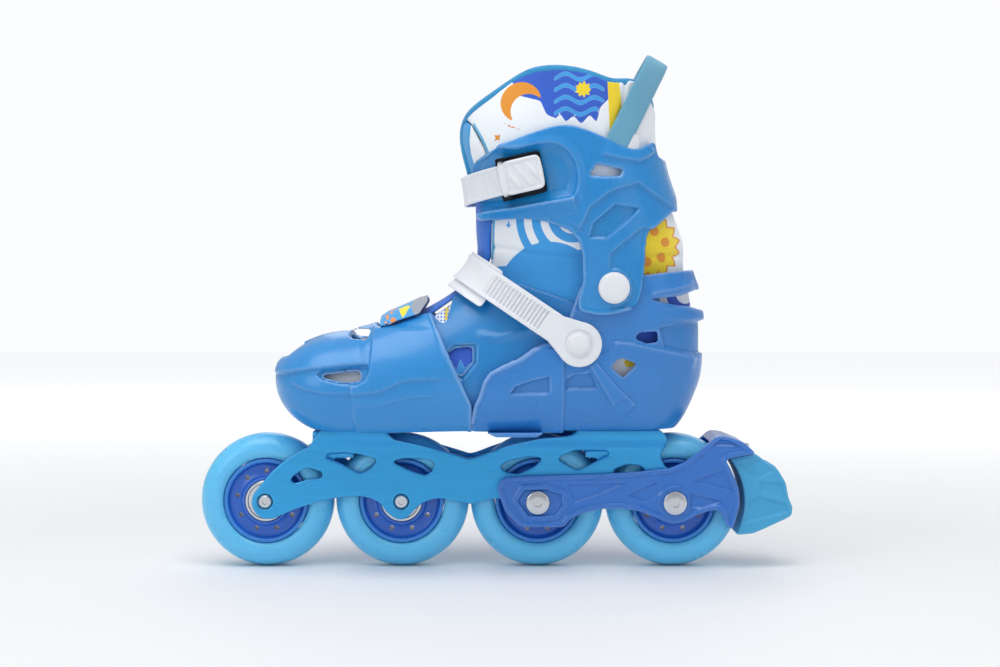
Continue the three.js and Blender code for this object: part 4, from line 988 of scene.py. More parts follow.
TOE_CREASES = [
    [
        (-112, 101.8), (-100.3, 96.6), (-87.3, 95), (-73.5, 94.9), (-63.1, 96.2), (-56.2, 98.8),
        (-51, 101.4), (-44, 102.5), (-24, 103.1),
    ],
    [(-76, 89), (-66.6, 88.4), (-57, 90.5), (-48.4, 93.1), (-33, 94)],
]
TOE_BACK_EDGE = [(-36.1, 137.5), (-30.9, 123.6), (-25.8, 112.2), (-20.6, 101.3), (-14.9, 89.4), (-14.9, 70)]
TOE_TRAVEL, BOLT_SLOT_R = 18.3, 4.3
toe_paint = moulded("toe_plastic", (40, 138, 208), rough=0.3, coat=0.25, wander=0.03, edge=0.35, milky=0.12)


def toe_heights(x, z, _):
    h = step_height(x, z, TOE_RIDGE, 1.5, 26, 0.55)
    h -= 1.3 * ramp(to_outline(x, z, TOE_SLOT), 0.4, -0.4)
    h += step_height(x, z, TOE_STEP, 1.1, 60, 0.5)
    h += step_height(x, z, TOE_CREASES[0], 0.75, 22, 0.5)
    h += step_height(x, z, TOE_CREASES[1], 0.5, 14, 0.5)
    edge = to_line(x, z, TOE_BACK_EDGE)[0]
    return h + 0.4 * ramp(edge, 2.2, 1.2)


toe = layer("toe_shell_moulding", -SHELL_T, 0.0, TOE_OUTLINE)
painted(toe, toe_paint)
boolean(toe, slab("window", rounded(TOE_WINDOW, 1.2, 3), -WIDE, WIDE))
boolean(toe, slab("notch", rounded(TOE_NOTCH, 1.0, 3), -WIDE, WIDE))
for x in (BOLT_X[0], BOLT_X[0] + TOE_TRAVEL):
    boolean(toe, upright(BOLT_SLOT_R, x, SOLE_Z - 2, SOLE_Z + 6))
boolean(toe, block(BOLT_X[0], BOLT_X[0] + TOE_TRAVEL, -BOLT_SLOT_R, BOLT_SLOT_R, SOLE_Z - 2, SOLE_Z + 6))
softened(toe, 0.7, 3)
embossed(toe, toe_heights)
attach(toe, "toe")
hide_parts("toe_shell")

# ------------------------------------------------------------------ heel shell
# The back of the boot is the thickest moulding: a raised plate beside the arch with a long
# pocket, ribs running down from the strap rivet, two through windows, and three fins that wrap
# round the heel.
HEEL_OUTLINE = [
    (-14.6, 60), (-14.6, 81.2), (-13.1, 88.9), (-10.8, 93.6), (-8.2, 101.8), (-5.1, 106), (0.1, 108.6),
    (10.4, 113), (16.6, 117.4), (20.8, 120.5), (27.5, 121.9), (34.2, 126.1), (36.3, 134.9),
    (41.5, 149.4), (46, 157), (55, 161), (68, 160), (75.6, 157.2), (100.4, 159.6), (125, 160.6),
    (125, 151.5), (103, 150.2), (94.4, 147.5), (76.3, 145.2), (97, 140.4), (106, 137.8), (125, 137),
    (125, 60),
]
POCKET_A = [(5.8, 95.7), (7.8, 98.8), (16.1, 101.9), (25.4, 104), (25.9, 101.9), (25.4, 95.7)]
POCKET_B = [(34.7, 97.8), (34.8, 102.4), (38.8, 105), (47.1, 106), (50.6, 98.4)]
WINDOW_C = [(70.4, 124.1), (72.4, 127.2), (82.3, 127.7), (82.6, 122), (76.1, 121.5)]
WINDOW_D = [(57.5, 109.1), (62.6, 114.3), (71.9, 110.7), (64.2, 103.4)]
RECESS_E = [(83.6, 129.4), (104, 133), (130, 132.6), (130, 116.2), (104, 115.6), (86.4, 119.5)]
HEEL_STEP = [(33.4, 70), (33.4, 92), (33.4, 112), (33.4, 120)]
RIB_EDGES = [[(45, 112), (49, 105.5), (60, 87.5)], [(72.5, 88.4), (60, 100.8), (49.5, 113.5)]]
FIN_EDGE = [(106, 113.6), (88, 117.6), (70.4, 121.6), (58, 122.8)]
FIN_RIDGE = [(77, 147.2), (90, 149.6), (104, 153.2)]
PIVOT_BORE_R, RIVET_BORE_R = 4.3, 3.3
heel_paint = moulded(
    "heel_plastic", (42, 126, 202), rough=0.3, coat=0.25, wander=0.03, edge=0.4, milky=0.08,
)


def heel_heights(x, z, _):
    h = -1.5 * ramp(to_outline(x, z, POCKET_A), 0.4, -0.4)
    h -= 1.3 * ramp(to_outline(x, z, POCKET_B), 0.4, -0.4)
    h -= 1.7 * ramp(to_outline(x, z, RECESS_E), 0.5, -0.5)
    h += step_height(x, z, HEEL_STEP, 0.9, 60, 0.45)
    h += step_height(x, z, RIB_EDGES[0], 0.9, 16, 0.5)
    h += step_height(x, z, RIB_EDGES[1], 0.9, 18, 0.5)
    h += step_height(x, z, FIN_EDGE, 1.2, 12, 0.5)
    h += 1.0 * ramp(x, 74, 90) * ramp(z, 143.5, 146) * (1 - ramp(z, 146, 158) * 0.6)
    h += line_height(x, z, FIN_RIDGE, 0.7, 1.2)
    h += 0.9 * ramp(x, 76, 98) * ramp(z, 142, 139) * ramp(z, 131.5, 134)
    edge = to_line(x, z, HEEL_OUTLINE[1:14])[0]
    h += 0.45 * ramp(edge, 2.4, 1.4)
    return h


heel = layer("heel_shell_moulding", -SHELL_T, 0.0, HEEL_OUTLINE, round_mm=1.4)
painted(heel, heel_paint)
for outline in (WINDOW_C, WINDOW_D):
    boolean(heel, slab("window", rounded(outline, 1.2, 3), -WIDE, WIDE))
pivot_x, _, pivot_z = centre_of("cuff_pivot_outer")
rivet_x, _, rivet_z = centre_of("ankle_strap_rivet")
boolean(heel, drum(PIVOT_BORE_R, -WIDE, WIDE, pivot_x, pivot_z))
boolean(heel, drum(RIVET_BORE_R, -WIDE, 0, rivet_x, rivet_z))
boolean(heel, upright(BOLT_BORE_R, BOLT_X[1], SOLE_Z - 2, SOLE_Z + 6))
softened(heel, 0.7, 3)
embossed(heel, heel_heights)
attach(heel, "boot")
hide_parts("heel_shell")

# ------------------------------------------------------------------ inner instep shell
# A thinner moulding that the toe slides over and the heel is fixed to. Its front edge is piped,
# and two openings in each side show the patterned lining.
BASE_OUTER, BASE_INNER = -3.8, -6.0
BASE_OUTLINE = [
    (-100, 60), (-100, 106), (-84, 112), (-66, 120.5), (-37.7, 135.5), (-19, 148.5), (-12, 153.5),
    (10, 153), (36, 144), (48, 138), (70, 138), (80, 150), (125, 150), (125, 60),
]
BASE_WINDOWS = [
    [
        (-36.5, 138.4), (-24, 147.4), (-25.3, 143.5), (-26.8, 138), (-27.6, 133.2), (-30, 131.6),
        (-33, 133.2),
    ],
    [(-27.6, 116.2), (-22.7, 119), (-14.4, 119.6), (-14.2, 112.4), (-20.4, 104.9), (-23.6, 107.4)],
]
# Behind the toe's and the heel's own windows the lining shows through.
BASE_OPENINGS = [
    [(-97, 99), (-97, 131), (-66, 131), (-66, 99)],
    [(69, 120), (69, 129), (84, 129), (84, 120)],
    [(56, 101.5), (56, 116), (74, 116), (74, 101.5)],
    [(84, 138.6), (84, 149.6), (125, 152), (125, 136)],
]
WINDOW_BED = [(-29, 116), (-24, 120.6), (-12.4, 121), (-12.6, 111.6), (-20, 102.5), (-26, 106)]
INSTEP_CREASE = [(-14, 126), (0, 124), (14, 128), (34, 133)]
FRONT_BEAD = [(-44, 133.4), (-37.7, 136.6), (-19, 149.6), (-12, 154.6)]
RIVET_FOOT_R = 6.4
base_paint = moulded(
    "instep_plastic", (26, 128, 196), rough=0.32, coat=0.2, wander=0.03, edge=0.3, milky=0.1,
)


def base_heights(x, z, _):
    h = -1.0 * ramp(to_outline(x, z, WINDOW_BED), 0.8, -0.6)
    h += line_height(x, z, INSTEP_CREASE, 0.7, 2.2)
    h += line_height(x, z, FRONT_BEAD, 0.9, 1.1)
    return h


base = layer("instep_shell_moulding", BASE_INNER, BASE_OUTER, BASE_OUTLINE)
painted(base, base_paint)
for outline in BASE_WINDOWS + BASE_OPENINGS:
    boolean(base, slab("window", rounded(outline, 1.2, 3), -WIDE, WIDE))
boolean(base, drum(RIVET_FOOT_R, -WIDE, 0, rivet_x, rivet_z))
for x in BOLT_X:
    boolean(base, upright(BOLT_BORE_R, x, SOLE_Z, SOLE_Z + 12))
softened(base, 0.75, 2)
embossed(base, base_heights)
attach(base, "boot")
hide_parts("instep_shell")

# ------------------------------------------------------------------ cuff
# A slightly see-through moulding round the ankle, hinged to the heel shell at both sides. It is
# dished round the buckle, with a shelf under the strap, creased panels and a hinge leg each side.
CUFF_IN, CUFF_OUT = 0.9, 3.7
CUFF_OUTLINE = [
    (-10.2, 191.7), (-9.2, 188.1), (-2.5, 187), (13, 186.5), (25.8, 184.5), (36.2, 180.3),
    (40.8, 175.2), (42.9, 167.5), (43.4, 154.6), (40.8, 144.3), (40.8, 140.1), (42.9, 138.1),
    (51.6, 136.5), (59.3, 137.1), (67.1, 139.1), (72.2, 142.2), (74.3, 149.4), (75.3, 159.7),
    (76.4, 175.2), (77.4, 179.3), (85.1, 186), (92.3, 191.7), (125, 193), (125, 219), (83.6, 219),
    (82, 226.2), (80.5, 227.2), (72.2, 222.6), (69.1, 222.1), (64.5, 223.1), (56.8, 227.2),
    (46.5, 231.4), (38.7, 233.9), (33.6, 234.5), (25.8, 233.4), (18.1, 230.9), (10.4, 228.3),
    (2.7, 225.2), (-6.6, 221.1), (-12.8, 217.5), (-15.4, 214.4),
]
CUFF_WINDOW = [(45.5, 208.1), (47, 210.8), (49.6, 214.5), (63.5, 211.9), (62.5, 207.5), (54, 207.2)]
CUFF_RECESS = [(48.6, 183.5), (59.9, 193.4), (72.3, 191.8), (65.1, 184.5), (54.8, 176.3), (46.5, 176.8)]
DISH = [
    (-16, 227), (7, 221.5), (18, 224.4), (26.9, 225.4), (34, 222.4), (38.6, 216), (40.3, 209.5),
    (40.1, 203), (38.2, 197.6), (20.7, 194.9), (0.1, 191.8), (-16, 190),
]
SHELF = [(-14, 189.6), (0.1, 191.8), (20.7, 194.9), (33, 196.6), (39.4, 197.8)]
CUFF_CREASES = [
    [(51, 219.4), (62, 217.2), (71.3, 216), (76, 218.2), (82, 222.6)],
    [(40.3, 178.4), (44, 186), (46.5, 191.8), (56.8, 200), (71.3, 204.7), (82.6, 197.4), (95, 190)],
]
LEG_PANEL = [(57.4, 140), (57.2, 158), (57.4, 168), (65.1, 174.6), (74, 181.4), (84, 181), (84, 140)]
cuff_paint = moulded(
    "cuff_plastic", (24, 134, 204), rough=0.28, coat=0.3, wander=0.04, edge=0.32, milky=0.16,
)


def cuff_heights(x, z, y):
    dish = to_outline(x, z, rounded(DISH, 6, 4))
    h = -1.7 * ramp(dish, 0.8, -6.0)
    h += 0.7 * ramp(dish, 5.0, 0.6) * ramp(dish, -1.0, 0.4)
    h += step_height(x, z, SHELF[::-1], 1.8, 9, 0.6) * (y < 30)
    h += step_height(x, z, CUFF_CREASES[0], 0.9, 9, 0.4)
    h += step_height(x, z, CUFF_CREASES[1], 1.1, 24, 0.5)
    h -= 1.9 * ramp(to_outline(x, z, CUFF_RECESS), 0.5, -0.5)
    from_pivot = np.hypot(x - pivot_x, z - pivot_z)
    h -= 0.9 * ramp(to_outline(x, z, LEG_PANEL), 0.5, -0.5) * ramp(from_pivot, 9.4, 10.4)
    edge = to_line(x, z, CUFF_OUTLINE[4:22])[0]
    return h + 0.35 * ramp(edge, 2.2, 1.2)


cuff_rivet_x, _, cuff_rivet_z = centre_of("cuff_strap_rivet")
cuff = layer("cuff_moulding", CUFF_IN, CUFF_OUT, CUFF_OUTLINE, round_mm=2.4)
painted(cuff, cuff_paint)
boolean(cuff, slab("window", rounded(CUFF_WINDOW, 1.2, 3), -WIDE, WIDE))
boolean(cuff, drum(PIVOT_BORE_R, -WIDE, WIDE, pivot_x, pivot_z))
boolean(cuff, drum(RIVET_BORE_R, 0, WIDE, cuff_rivet_x, cuff_rivet_z))
softened(cuff, 0.7, 3)
embossed(cuff, cuff_heights)
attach(cuff, "cuff")
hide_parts("cuff")

# Round-headed rivets join the cuff to the heel shell; their caps are white and slightly domed.
white_paint = moulded("white_plastic", (226, 230, 236), rough=0.42, wander=0.015, edge=0.0, milky=0.1)


# A rivet whose head has a domed cap; its node gives where the head and the foot end.
def domed_rivet(name, node, x, z, side, head_r, head_t, shaft_r, back_r, paint=white_paint):
    low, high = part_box(node)
    top, foot = [abs(y) / MM for y in ((low[1], high[1]) if side < 0 else (high[1], low[1]))]
    neck = foot + 1.6
    profile = [
        (0.01, top), (head_r * 0.6, top - 0.12), (head_r - 1.3, top - 0.35), (head_r - 0.4, top - 0.8),
        (head_r, top - head_t), (shaft_r, top - head_t), (shaft_r, neck), (back_r, neck),
        (back_r, foot), (0.01, foot),
    ]
    made = lathe(name, [(r, side * y) for r, y in profile], x, 0, z, paint, 72)
    crisp(made, 50)
    return made


for name, side in (("cuff_pivot_outer", -1), ("cuff_pivot_inner", 1)):
    cap = domed_rivet(name + "_cap", name, pivot_x, pivot_z, side, 8.2, 2.0, 4.0, 6.0)
    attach(cap, "boot")
    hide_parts(name)

# ------------------------------------------------------------------ padded liner
# The inner boot is a foam liner sewn in printed fabric. It is thin round the foot, swells out into
# a thick collar above the ankle, and is piped along the edge where it meets the tongue.
LINER_IN, LINER_OUT, COLLAR_OUT = -10.9, -6.4, -0.2
RIVET_BACK_R = 5.2
SWELL_LOW_Z, SWELL_HIGH_Z = 156, 180
ANKLE_SEAM = [(-3, 172), (20, 168), (50, 165), (100, 168)]
HEEL_SEAM = [(66, 262), (64, 245), (60, 232), (58, 222)]
COLLAR_TOP = [
    (-15.8, 242.2), (-10.5, 247.5), (-5.2, 251.8), (5.5, 259.7), (16.1, 265.6), (26.7, 266.9),
    (37.3, 266.1), (47.9, 263.5), (57.5, 259.7), (61.2, 259.7), (64.9, 260.8), (70.7, 261.1),
    (77.1, 255.5), (82.4, 246.5),
]
COLLAR_DROP = 2.4  # room for the foam to swell upwards
COLLAR_TOP = [(x, z - COLLAR_DROP * min(1.0, max(0.0, (z - 242) / 10))) for x, z in COLLAR_TOP]
LINER_FRONT = [
    (-70.2, 118), (-37.2, 134), (-18.5, 147), (-9, 155), (-4, 165.5), (-3.5, 188), (-4.2, 215),
    (-8.5, 226), (-14.5, 237), (-18, 240.5),
]
LINER_OUTLINE = (
    [(-135, 60), (-135, 140), (-71, 140)] + LINER_FRONT + COLLAR_TOP + [(90, 240), (125, 240), (125, 60)]
)
FOAM_GRAIN_MM = 1.05
SWELL_CAP_MM = 2.2
SWELL_GRAIN_MM = 5.0
SWELL_FRAMES = 20


# The boot's volume with one depth low down and another above the ankle.
def padded_volume(low_d, high_d, z0, z1):
    low_rings, high_rings = boot_rings(low_d), boot_rings(high_d)
    share = ramp(low_rings[:, :, 2:3], z0, z1)
    return rings_solid(low_rings * (1 - share) + high_rings * share, SOLE_Z - low_d)


# Blows a foam piece up like a cushion where nothing covers it, by letting a coarse copy of it
# swell as cloth under pressure and carrying that movement back to the fine piece.
def swollen(piece, free_share, cap_mm):
    coarse = piece.copy()
    coarse.data = piece.data.copy()
    coarse.name = piece.name + "_coarse"
    scene.collection.objects.link(coarse)
    softened(coarse, SWELL_GRAIN_MM, 0)
    start = corners_of(coarse)
    free = free_share(start)
    group = coarse.vertex_groups.new(name="held")
    for index, amount in enumerate(free):
        group.add([index], float(1 - amount), "REPLACE")
    cloth = coarse.modifiers.new("cloth", "CLOTH")
    cloth.settings.quality = 6
    cloth.settings.use_pressure = True
    cloth.settings.uniform_pressure_force = 4
    cloth.settings.effector_weights.gravity = 0
    cloth.settings.vertex_group_mass = "held"
    cloth.settings.tension_stiffness = 8
    cloth.settings.compression_stiffness = 8
    cloth.collision_settings.use_collision = False
    cloth.point_cache.frame_start = 1
    cloth.point_cache.frame_end = SWELL_FRAMES
    for frame_number in range(1, SWELL_FRAMES + 1):
        scene.frame_set(frame_number)
    deps = bpy.context.evaluated_depsgraph_get()
    after = coarse.evaluated_get(deps).to_mesh()
    flat = np.empty(len(after.vertices) * 3)
    after.vertices.foreach_get("co", flat)
    moved = flat.reshape(-1, 3) / MM - start
    coarse.evaluated_get(deps).to_mesh_clear()
    scene.frame_set(1)
    length = np.linalg.norm(moved, axis=1)[:, None]
    moved = moved * np.minimum(1, cap_mm / np.maximum(length, 1e-6)) * free[:, None]
    tree_near = KDTree(len(start))
    for index, point in enumerate(start):
        tree_near.insert(point, index)
    tree_near.balance()
    points = corners_of(piece)
    chosen = np.nonzero(free_share(points) > 0.01)[0]
    for index in chosen:
        total, shift = 0.0, np.zeros(3)
        for _, other, gap in tree_near.find_n(points[index], 6):
            weight = 1 / (gap * gap + 1.0)
            total += weight
            shift += weight * moved[other]
        points[index] += shift / total
    put_corners(piece, points)
    bpy.data.objects.remove(coarse)
    return piece


def open_collar(points):
    x, z = points[:, 0], points[:, 2]
    return ramp(to_outline(x, z, CUFF_OUTLINE), 2.0, 7.0) * ramp(z, 221, 229)


# Signed distances to the shapes of a print, kept on the mesh so that their edges stay crisp.
def keep_distance(piece, name, values):
    layer_data = piece.data.attributes.new(name, "FLOAT", "POINT")
    layer_data.data.foreach_set("value", values.astype(np.float32))


def to_disc(x, z, cx, cz, r):
    return np.hypot(x - cx - DX, z - cz) - r


def to_star(x, z, cx, cz, r, depth, tips, turn=0.0):
    angle = np.arctan2(z - cz, x - cx - DX) + turn
    tooth = np.abs(((angle * tips / (2 * np.pi)) % 1) * 2 - 1)
    return np.hypot(x - cx - DX, z - cz) - r - depth * (tooth - 0.5)


def least(*parts):
    return np.minimum.reduce(parts)


def most(*parts):
    return np.maximum.reduce(parts)


PRINT_ROYAL = [
    (2, 262), (8, 255.5), (10, 250), (21, 247), (24, 240), (29, 237.6), (31, 240.6), (34, 236),
    (38, 239.4), (42, 235), (46.5, 240), (50, 236), (52, 244), (58, 250), (62, 262), (40, 272),
    (10, 270),
]
PRINT_FLAME = [
    (-27, 102), (-24.5, 110.5), (-22.6, 107.8), (-20.4, 113.6), (-18.4, 108.5), (-15.4, 111.5), (-12, 102),
]
PRINT_ARCS = [(8.5, 13.0), (17.0, 21.5), (25.5, 29.5)]
PRINT_HILL = [(26, 148, 26.5), (2, 146, 16), (46, 150, 19)]
SUN_X, SUN_Z, SUN_R = 79, 172, 15.2


def to_block(x, z, x0, z0, x1, z1):
    return to_outline(x, z, [(x0, z0), (x1, z0), (x1, z1), (x0, z1)])


# The print, worked out as distances: royal blue patches with pale waves in them, sky blue arcs and
# hills, a toothed yellow sun with orange dots, and small stars.
def printed_shapes(x, z):
    from_arcs = np.hypot(x - 38 - DX, z - 187)
    arcs = np.full(len(x), 9.0)
    for inner, outer in PRINT_ARCS:
        arcs = least(arcs, most(inner - from_arcs, from_arcs - outer))
    arcs = most(arcs, z - 192, x - DX - 46)
    moon = most(to_disc(x, z, 96, 146, 8), -to_disc(x, z, 99, 148, 6))
    royal = least(to_outline(x, z, rounded(PRINT_ROYAL, 1.2, 2)), to_star(x, z, 88, 196, 5, 2.4, 7), moon)
    swell_z = 1.5 * np.sin((x - DX) / 2.4)
    waves = least(*[np.abs(z - level - swell_z) - 1.1 for level in (241.5, 247.5, 253.5, 259.5)])
    waves = most(waves, 28 - (x - DX), (x - DX) - 54, royal + 0.6)
    flame = to_outline(x, z, PRINT_FLAME)
    toe_panel = to_block(x, z, -31, 100, -8, 123)
    heel_ink = to_block(x, z, 66, 117.5, 86, 130)
    royal = least(most(royal, -waves), most(toe_panel, -flame), heel_ink)
    hill = least(*[to_disc(x, z, *disc) for disc in PRINT_HILL])
    sky = least(arcs, hill, waves, flame, to_star(x, z, 4.6, 183.6, 1.2, 1.6, 4))
    sun = to_star(x, z, SUN_X, SUN_Z, SUN_R, 3.6, 15, 0.2)
    gold = least(
        sun, to_star(x, z, 43, 253, 3.6, 2.2, 9), to_disc(x, z, 68, 111.5, 2.6),
        to_outline(x, z, [(55.5, 262), (61, 262), (66, 231), (57, 231)]),
        to_block(x, z, -29.5, 133.5, -27, 142),
    )
    around = np.arange(0.3, 6.4, 1.0472)
    centres = [(SUN_X + 8.2 * math.cos(a), SUN_Z + 8.2 * math.sin(a)) for a in around]
    petal = least(*[to_disc(x, z, *centre, 2.5) for centre in centres])
    crescent = most(to_disc(x, z, 11, 246.5, 10.6), -to_disc(x, z, 14.6, 241.8, 9.0))
    orange = least(
        np.abs(sun) - 0.7, petal, crescent, to_outline(x, z, [(1.2, 236.6), (13, 231.4), (5.4, 233.6)]),
        to_star(x, z, -1.2, 228.6, 1.4, 1.8, 4, 0.78),
    )
    dotted = to_outline(x, z, [(-44, 128), (-30, 128), (-10, 150), (-20, 156), (-44, 140)])
    return {"ink_sky": sky, "ink_royal": royal, "ink_gold": gold, "ink_orange": orange, "ink_dots": dotted}


def maths(tree, operation, a, b=0.0, clamp=False):
    return add_node(tree, "ShaderNodeMath", {0: a, 1: b}, operation=operation, use_clamp=clamp).outputs[0]


def fabric_weave(tree, place, pitch):
    threads = [
        add_node(
            tree,
            "ShaderNodeTexWave",
            {"Vector": place, "Scale": pitch, "Distortion": 0.4},
            wave_type="BANDS",
            bands_direction=direction,
        ).outputs["Fac"]
        for direction in ("X", "Z")
    ]
    return maths(tree, "MULTIPLY", *threads)


def ink_share(tree, name, soften=0.12):
    ink = add_node(tree, "ShaderNodeAttribute", attribute_name=name)
    return ranged(tree, ink.outputs["Fac"], 0.0, 1.0, soften, -soften)


DOT_PITCH_M, DOT_R_M = 0.0009, 0.00052


def printed_fabric(name, ground, inks):
    made, tree, bsdf = blank_material(name)
    place = add_node(tree, "ShaderNodeTexCoord").outputs["Object"]
    soil = noise(tree, place, 40.0, 3.0)
    base = to_linear(ground)
    colour = mixed(tree, soil, shaded(base, 0.93), base)
    for attribute, ink in inks:
        shade = to_linear(ink)
        uneven = mixed(tree, soil, shaded(shade, 0.8), shaded(shade, 1.15))
        colour = mixed(tree, ink_share(tree, attribute), colour, uneven)
    split = add_node(tree, "ShaderNodeSeparateXYZ", {"Vector": place})
    squares = [
        maths(tree, "POWER", maths(tree, "PINGPONG", split.outputs[axis], DOT_PITCH_M), 2.0)
        for axis in ("X", "Z")
    ]
    dot = maths(tree, "LESS_THAN", maths(tree, "SQRT", maths(tree, "ADD", *squares)), DOT_R_M)
    dots = maths(tree, "MULTIPLY", dot, ink_share(tree, "ink_dots"))
    colour = mixed(tree, dots, colour, to_linear((58, 124, 214)))
    tree.links.new(colour, bsdf.inputs["Base Color"])
    add_bump(tree, bsdf, fabric_weave(tree, place, 420.0), 0.22, 0.0003)
    tree.links.new(ranged(tree, soil, 0.62, 0.82), bsdf.inputs["Roughness"])
    bsdf.inputs["Sheen Weight"].default_value = 0.25
    bsdf.inputs["Sheen Roughness"].default_value = 0.5
    return made


INKS = [
    ("ink_sky", (56, 156, 226)), ("ink_royal", (42, 92, 200)), ("ink_gold", (248, 214, 40)),
    ("ink_orange", (226, 146, 40)),
]
print_fabric = printed_fabric("liner_print", (238, 243, 248), INKS)

liner = padded_volume(LINER_OUT, COLLAR_OUT, SWELL_LOW_Z, SWELL_HIGH_Z)
liner.name = "padded_liner"
VOLUMES[LINER_IN] = boot_volume(LINER_IN)
boolean(liner, VOLUMES[LINER_IN], keep_tool=True)
boolean(liner, slab("outline", rounded(LINER_OUTLINE, 2.5, 4), -WIDE, WIDE), "INTERSECT")
boolean(liner, drum(RIVET_BACK_R, 0, WIDE, cuff_rivet_x, cuff_rivet_z))
softened(liner, FOAM_GRAIN_MM, 6, 0.6)
painted(liner, print_fabric)
swollen(liner, open_collar, SWELL_CAP_MM)
points, facing = corners_of(liner), facing_of(liner)
x, z = points[:, 0], points[:, 2]
seam_gap = least(to_line(x, z, ANKLE_SEAM)[0], to_line(x, z, HEEL_SEAM)[0])
quilt = -0.9 * np.exp(-((seam_gap / 1.1) ** 2)) * (np.abs(points[:, 1] - DY) > 6)
put_corners(liner, points + facing * quilt[:, None])
lining = 6.0 * (1 - outward_share(corners_of(liner), facing_of(liner)))
for name, values in printed_shapes(points[:, 0], points[:, 2]).items():
    keep_distance(liner, name, values + lining)
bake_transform(liner)
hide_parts("liner_lower", "liner_collar")

# ------------------------------------------------------------------ tongue
# A separate foam pad over the instep and shin, sewn in blue cloth low down and in white above the
# cuff, with a cyan border down its front.
TONGUE_OUTLINE = [
    (-70, 145), (-69.6, 119.1), (-38, 135.4), (-19.4, 148.3), (-10, 156.3), (-4.6, 166.5), (-4.1, 188),
    (-4.8, 215), (-9.1, 226), (-15, 237), (-18.8, 240), (-24, 236), (-40, 226), (-40, 169), (-70, 160),
]
TONGUE_OUT = -3.8
TONGUE_BLUE_Z = 206
TONGUE_FRONT = [(-13.2, 200), (-16.5, 214), (-18.6, 221), (-19.4, 228), (-18.6, 237)]
TONGUE_INKS = [("ink_blue", (34, 108, 206)), ("ink_cyan", (40, 152, 216))]
tongue_fabric = printed_fabric("tongue_print", (238, 243, 248), TONGUE_INKS)
tongue = padded_volume(TONGUE_OUT, COLLAR_OUT, 158, 182)
tongue.name = "padded_tongue"
boolean(tongue, VOLUMES[LINER_IN], keep_tool=True)
boolean(tongue, slab("outline", rounded(TONGUE_OUTLINE, 2.0, 4), -WIDE, WIDE), "INTERSECT")
softened(tongue, FOAM_GRAIN_MM, 6, 0.6)
painted(tongue, tongue_fabric)


def open_tongue(points):
    x, z = points[:, 0], points[:, 2]
    return ramp(z, 214, 224) * ramp(to_outline(x, z, CUFF_OUTLINE), 1.0, 5.0)


swollen(tongue, open_tongue, 1.2)
points = corners_of(tongue)
keep_distance(tongue, "ink_blue", points[:, 2] - TONGUE_BLUE_Z)
front_gap = to_line(points[:, 0], points[:, 2], TONGUE_FRONT)[0]
keep_distance(tongue, "ink_cyan", front_gap - 3.4)
keep_distance(tongue, "ink_dots", np.full(len(points), 5.0))
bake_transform(tongue)
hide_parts("tongue_lower", "tongue_upper")

# ------------------------------------------------------------------ piping and binding
# Cyan knit binding is folded over the collar's edge and sewn down. Thinner, lighter piping runs
# down the front seam of the liner, on both sides of the tongue.
BINDING_R, PIPING_R = 2.3, 0.95
COLLAR_SKIN = -2.6
BINDING_INSET = 0.6
INWARD_STEP, MOST_STEPS = 0.5, 12


# Plain woven cloth.
def cloth_plain(name, colour, pitch=900.0, rough=0.75, strength=0.5):
    made, tree, bsdf = blank_material(name)
    place = add_node(tree, "ShaderNodeTexCoord").outputs["Object"]
    height = fabric_weave(tree, place, pitch)
    base = to_linear(colour)
    weave = mixed(tree, height, shaded(base, 0.72), shaded(base, 1.15))
    cloud = noise(tree, place, 60.0, 2.0)
    faded = mixed(tree, maths(tree, "MULTIPLY", cloud, 0.3), weave, shaded(base, 0.8))
    tree.links.new(faded, bsdf.inputs["Base Color"])
    tree.links.new(ranged(tree, cloud, rough - 0.08, rough + 0.1), bsdf.inputs["Roughness"])
    add_bump(tree, bsdf, height, strength, 0.0003)
    bsdf.inputs["Sheen Weight"].default_value = 0.3
    return made


# A round cord along a path.
def tube(name, path, radius, paint):
    curve = bpy.data.curves.new(name, "CURVE")
    curve.dimensions = "3D"
    spline = curve.splines.new("POLY")
    spline.points.add(len(path) - 1)
    for point, (px, py, pz) in zip(spline.points, path):
        point.co = (px * MM, py * MM, pz * MM, 1)
    curve.bevel_depth = radius * MM
    curve.bevel_resolution = 4
    curve.use_fill_caps = True
    source = bpy.data.objects.new(name + "_line", curve)
    scene.collection.objects.link(source)
    deps = bpy.context.evaluated_depsgraph_get()
    data = bpy.data.meshes.new_from_object(source.evaluated_get(deps))
    bpy.data.objects.remove(source)
    made = bpy.data.objects.new(name, data)
    scene.collection.objects.link(made)
    turned_out(made)
    painted(made, paint)
    data.polygons.foreach_set("use_smooth", [True] * len(data.polygons))
    return made


def surface_of(piece):
    deps = bpy.context.evaluated_depsgraph_get()
    return BVHTree.FromObject(piece, deps)


# The y of a piece's outer face at a side-view point, seen from one side.
def face_y(surface, x, z, side):
    hit = surface.ray_cast(Vector(((x + DX) * MM, side * 0.2, z * MM)), Vector((0, -side, 0)))
    return hit[0].y / MM if hit[0] else None


# Points at even steps along a line.
def spaced(points, step):
    points = np.array(points, float)
    gaps = np.linalg.norm(np.diff(points, axis=0), axis=1)
    travel = np.concatenate([[0], np.cumsum(gaps)])
    at = np.linspace(0, travel[-1], max(2, int(travel[-1] / step)))
    return np.stack([np.interp(at, travel, points[:, k]) for k in range(points.shape[1])], axis=-1)


# Each point drawn towards its neighbours, some times over; the two ends stay.
def eased(path, passes):
    path = np.array(path, float)
    for _ in range(passes):
        path[1:-1] = (path[:-2] + 2 * path[1:-1] + path[2:]) / 4
    return path


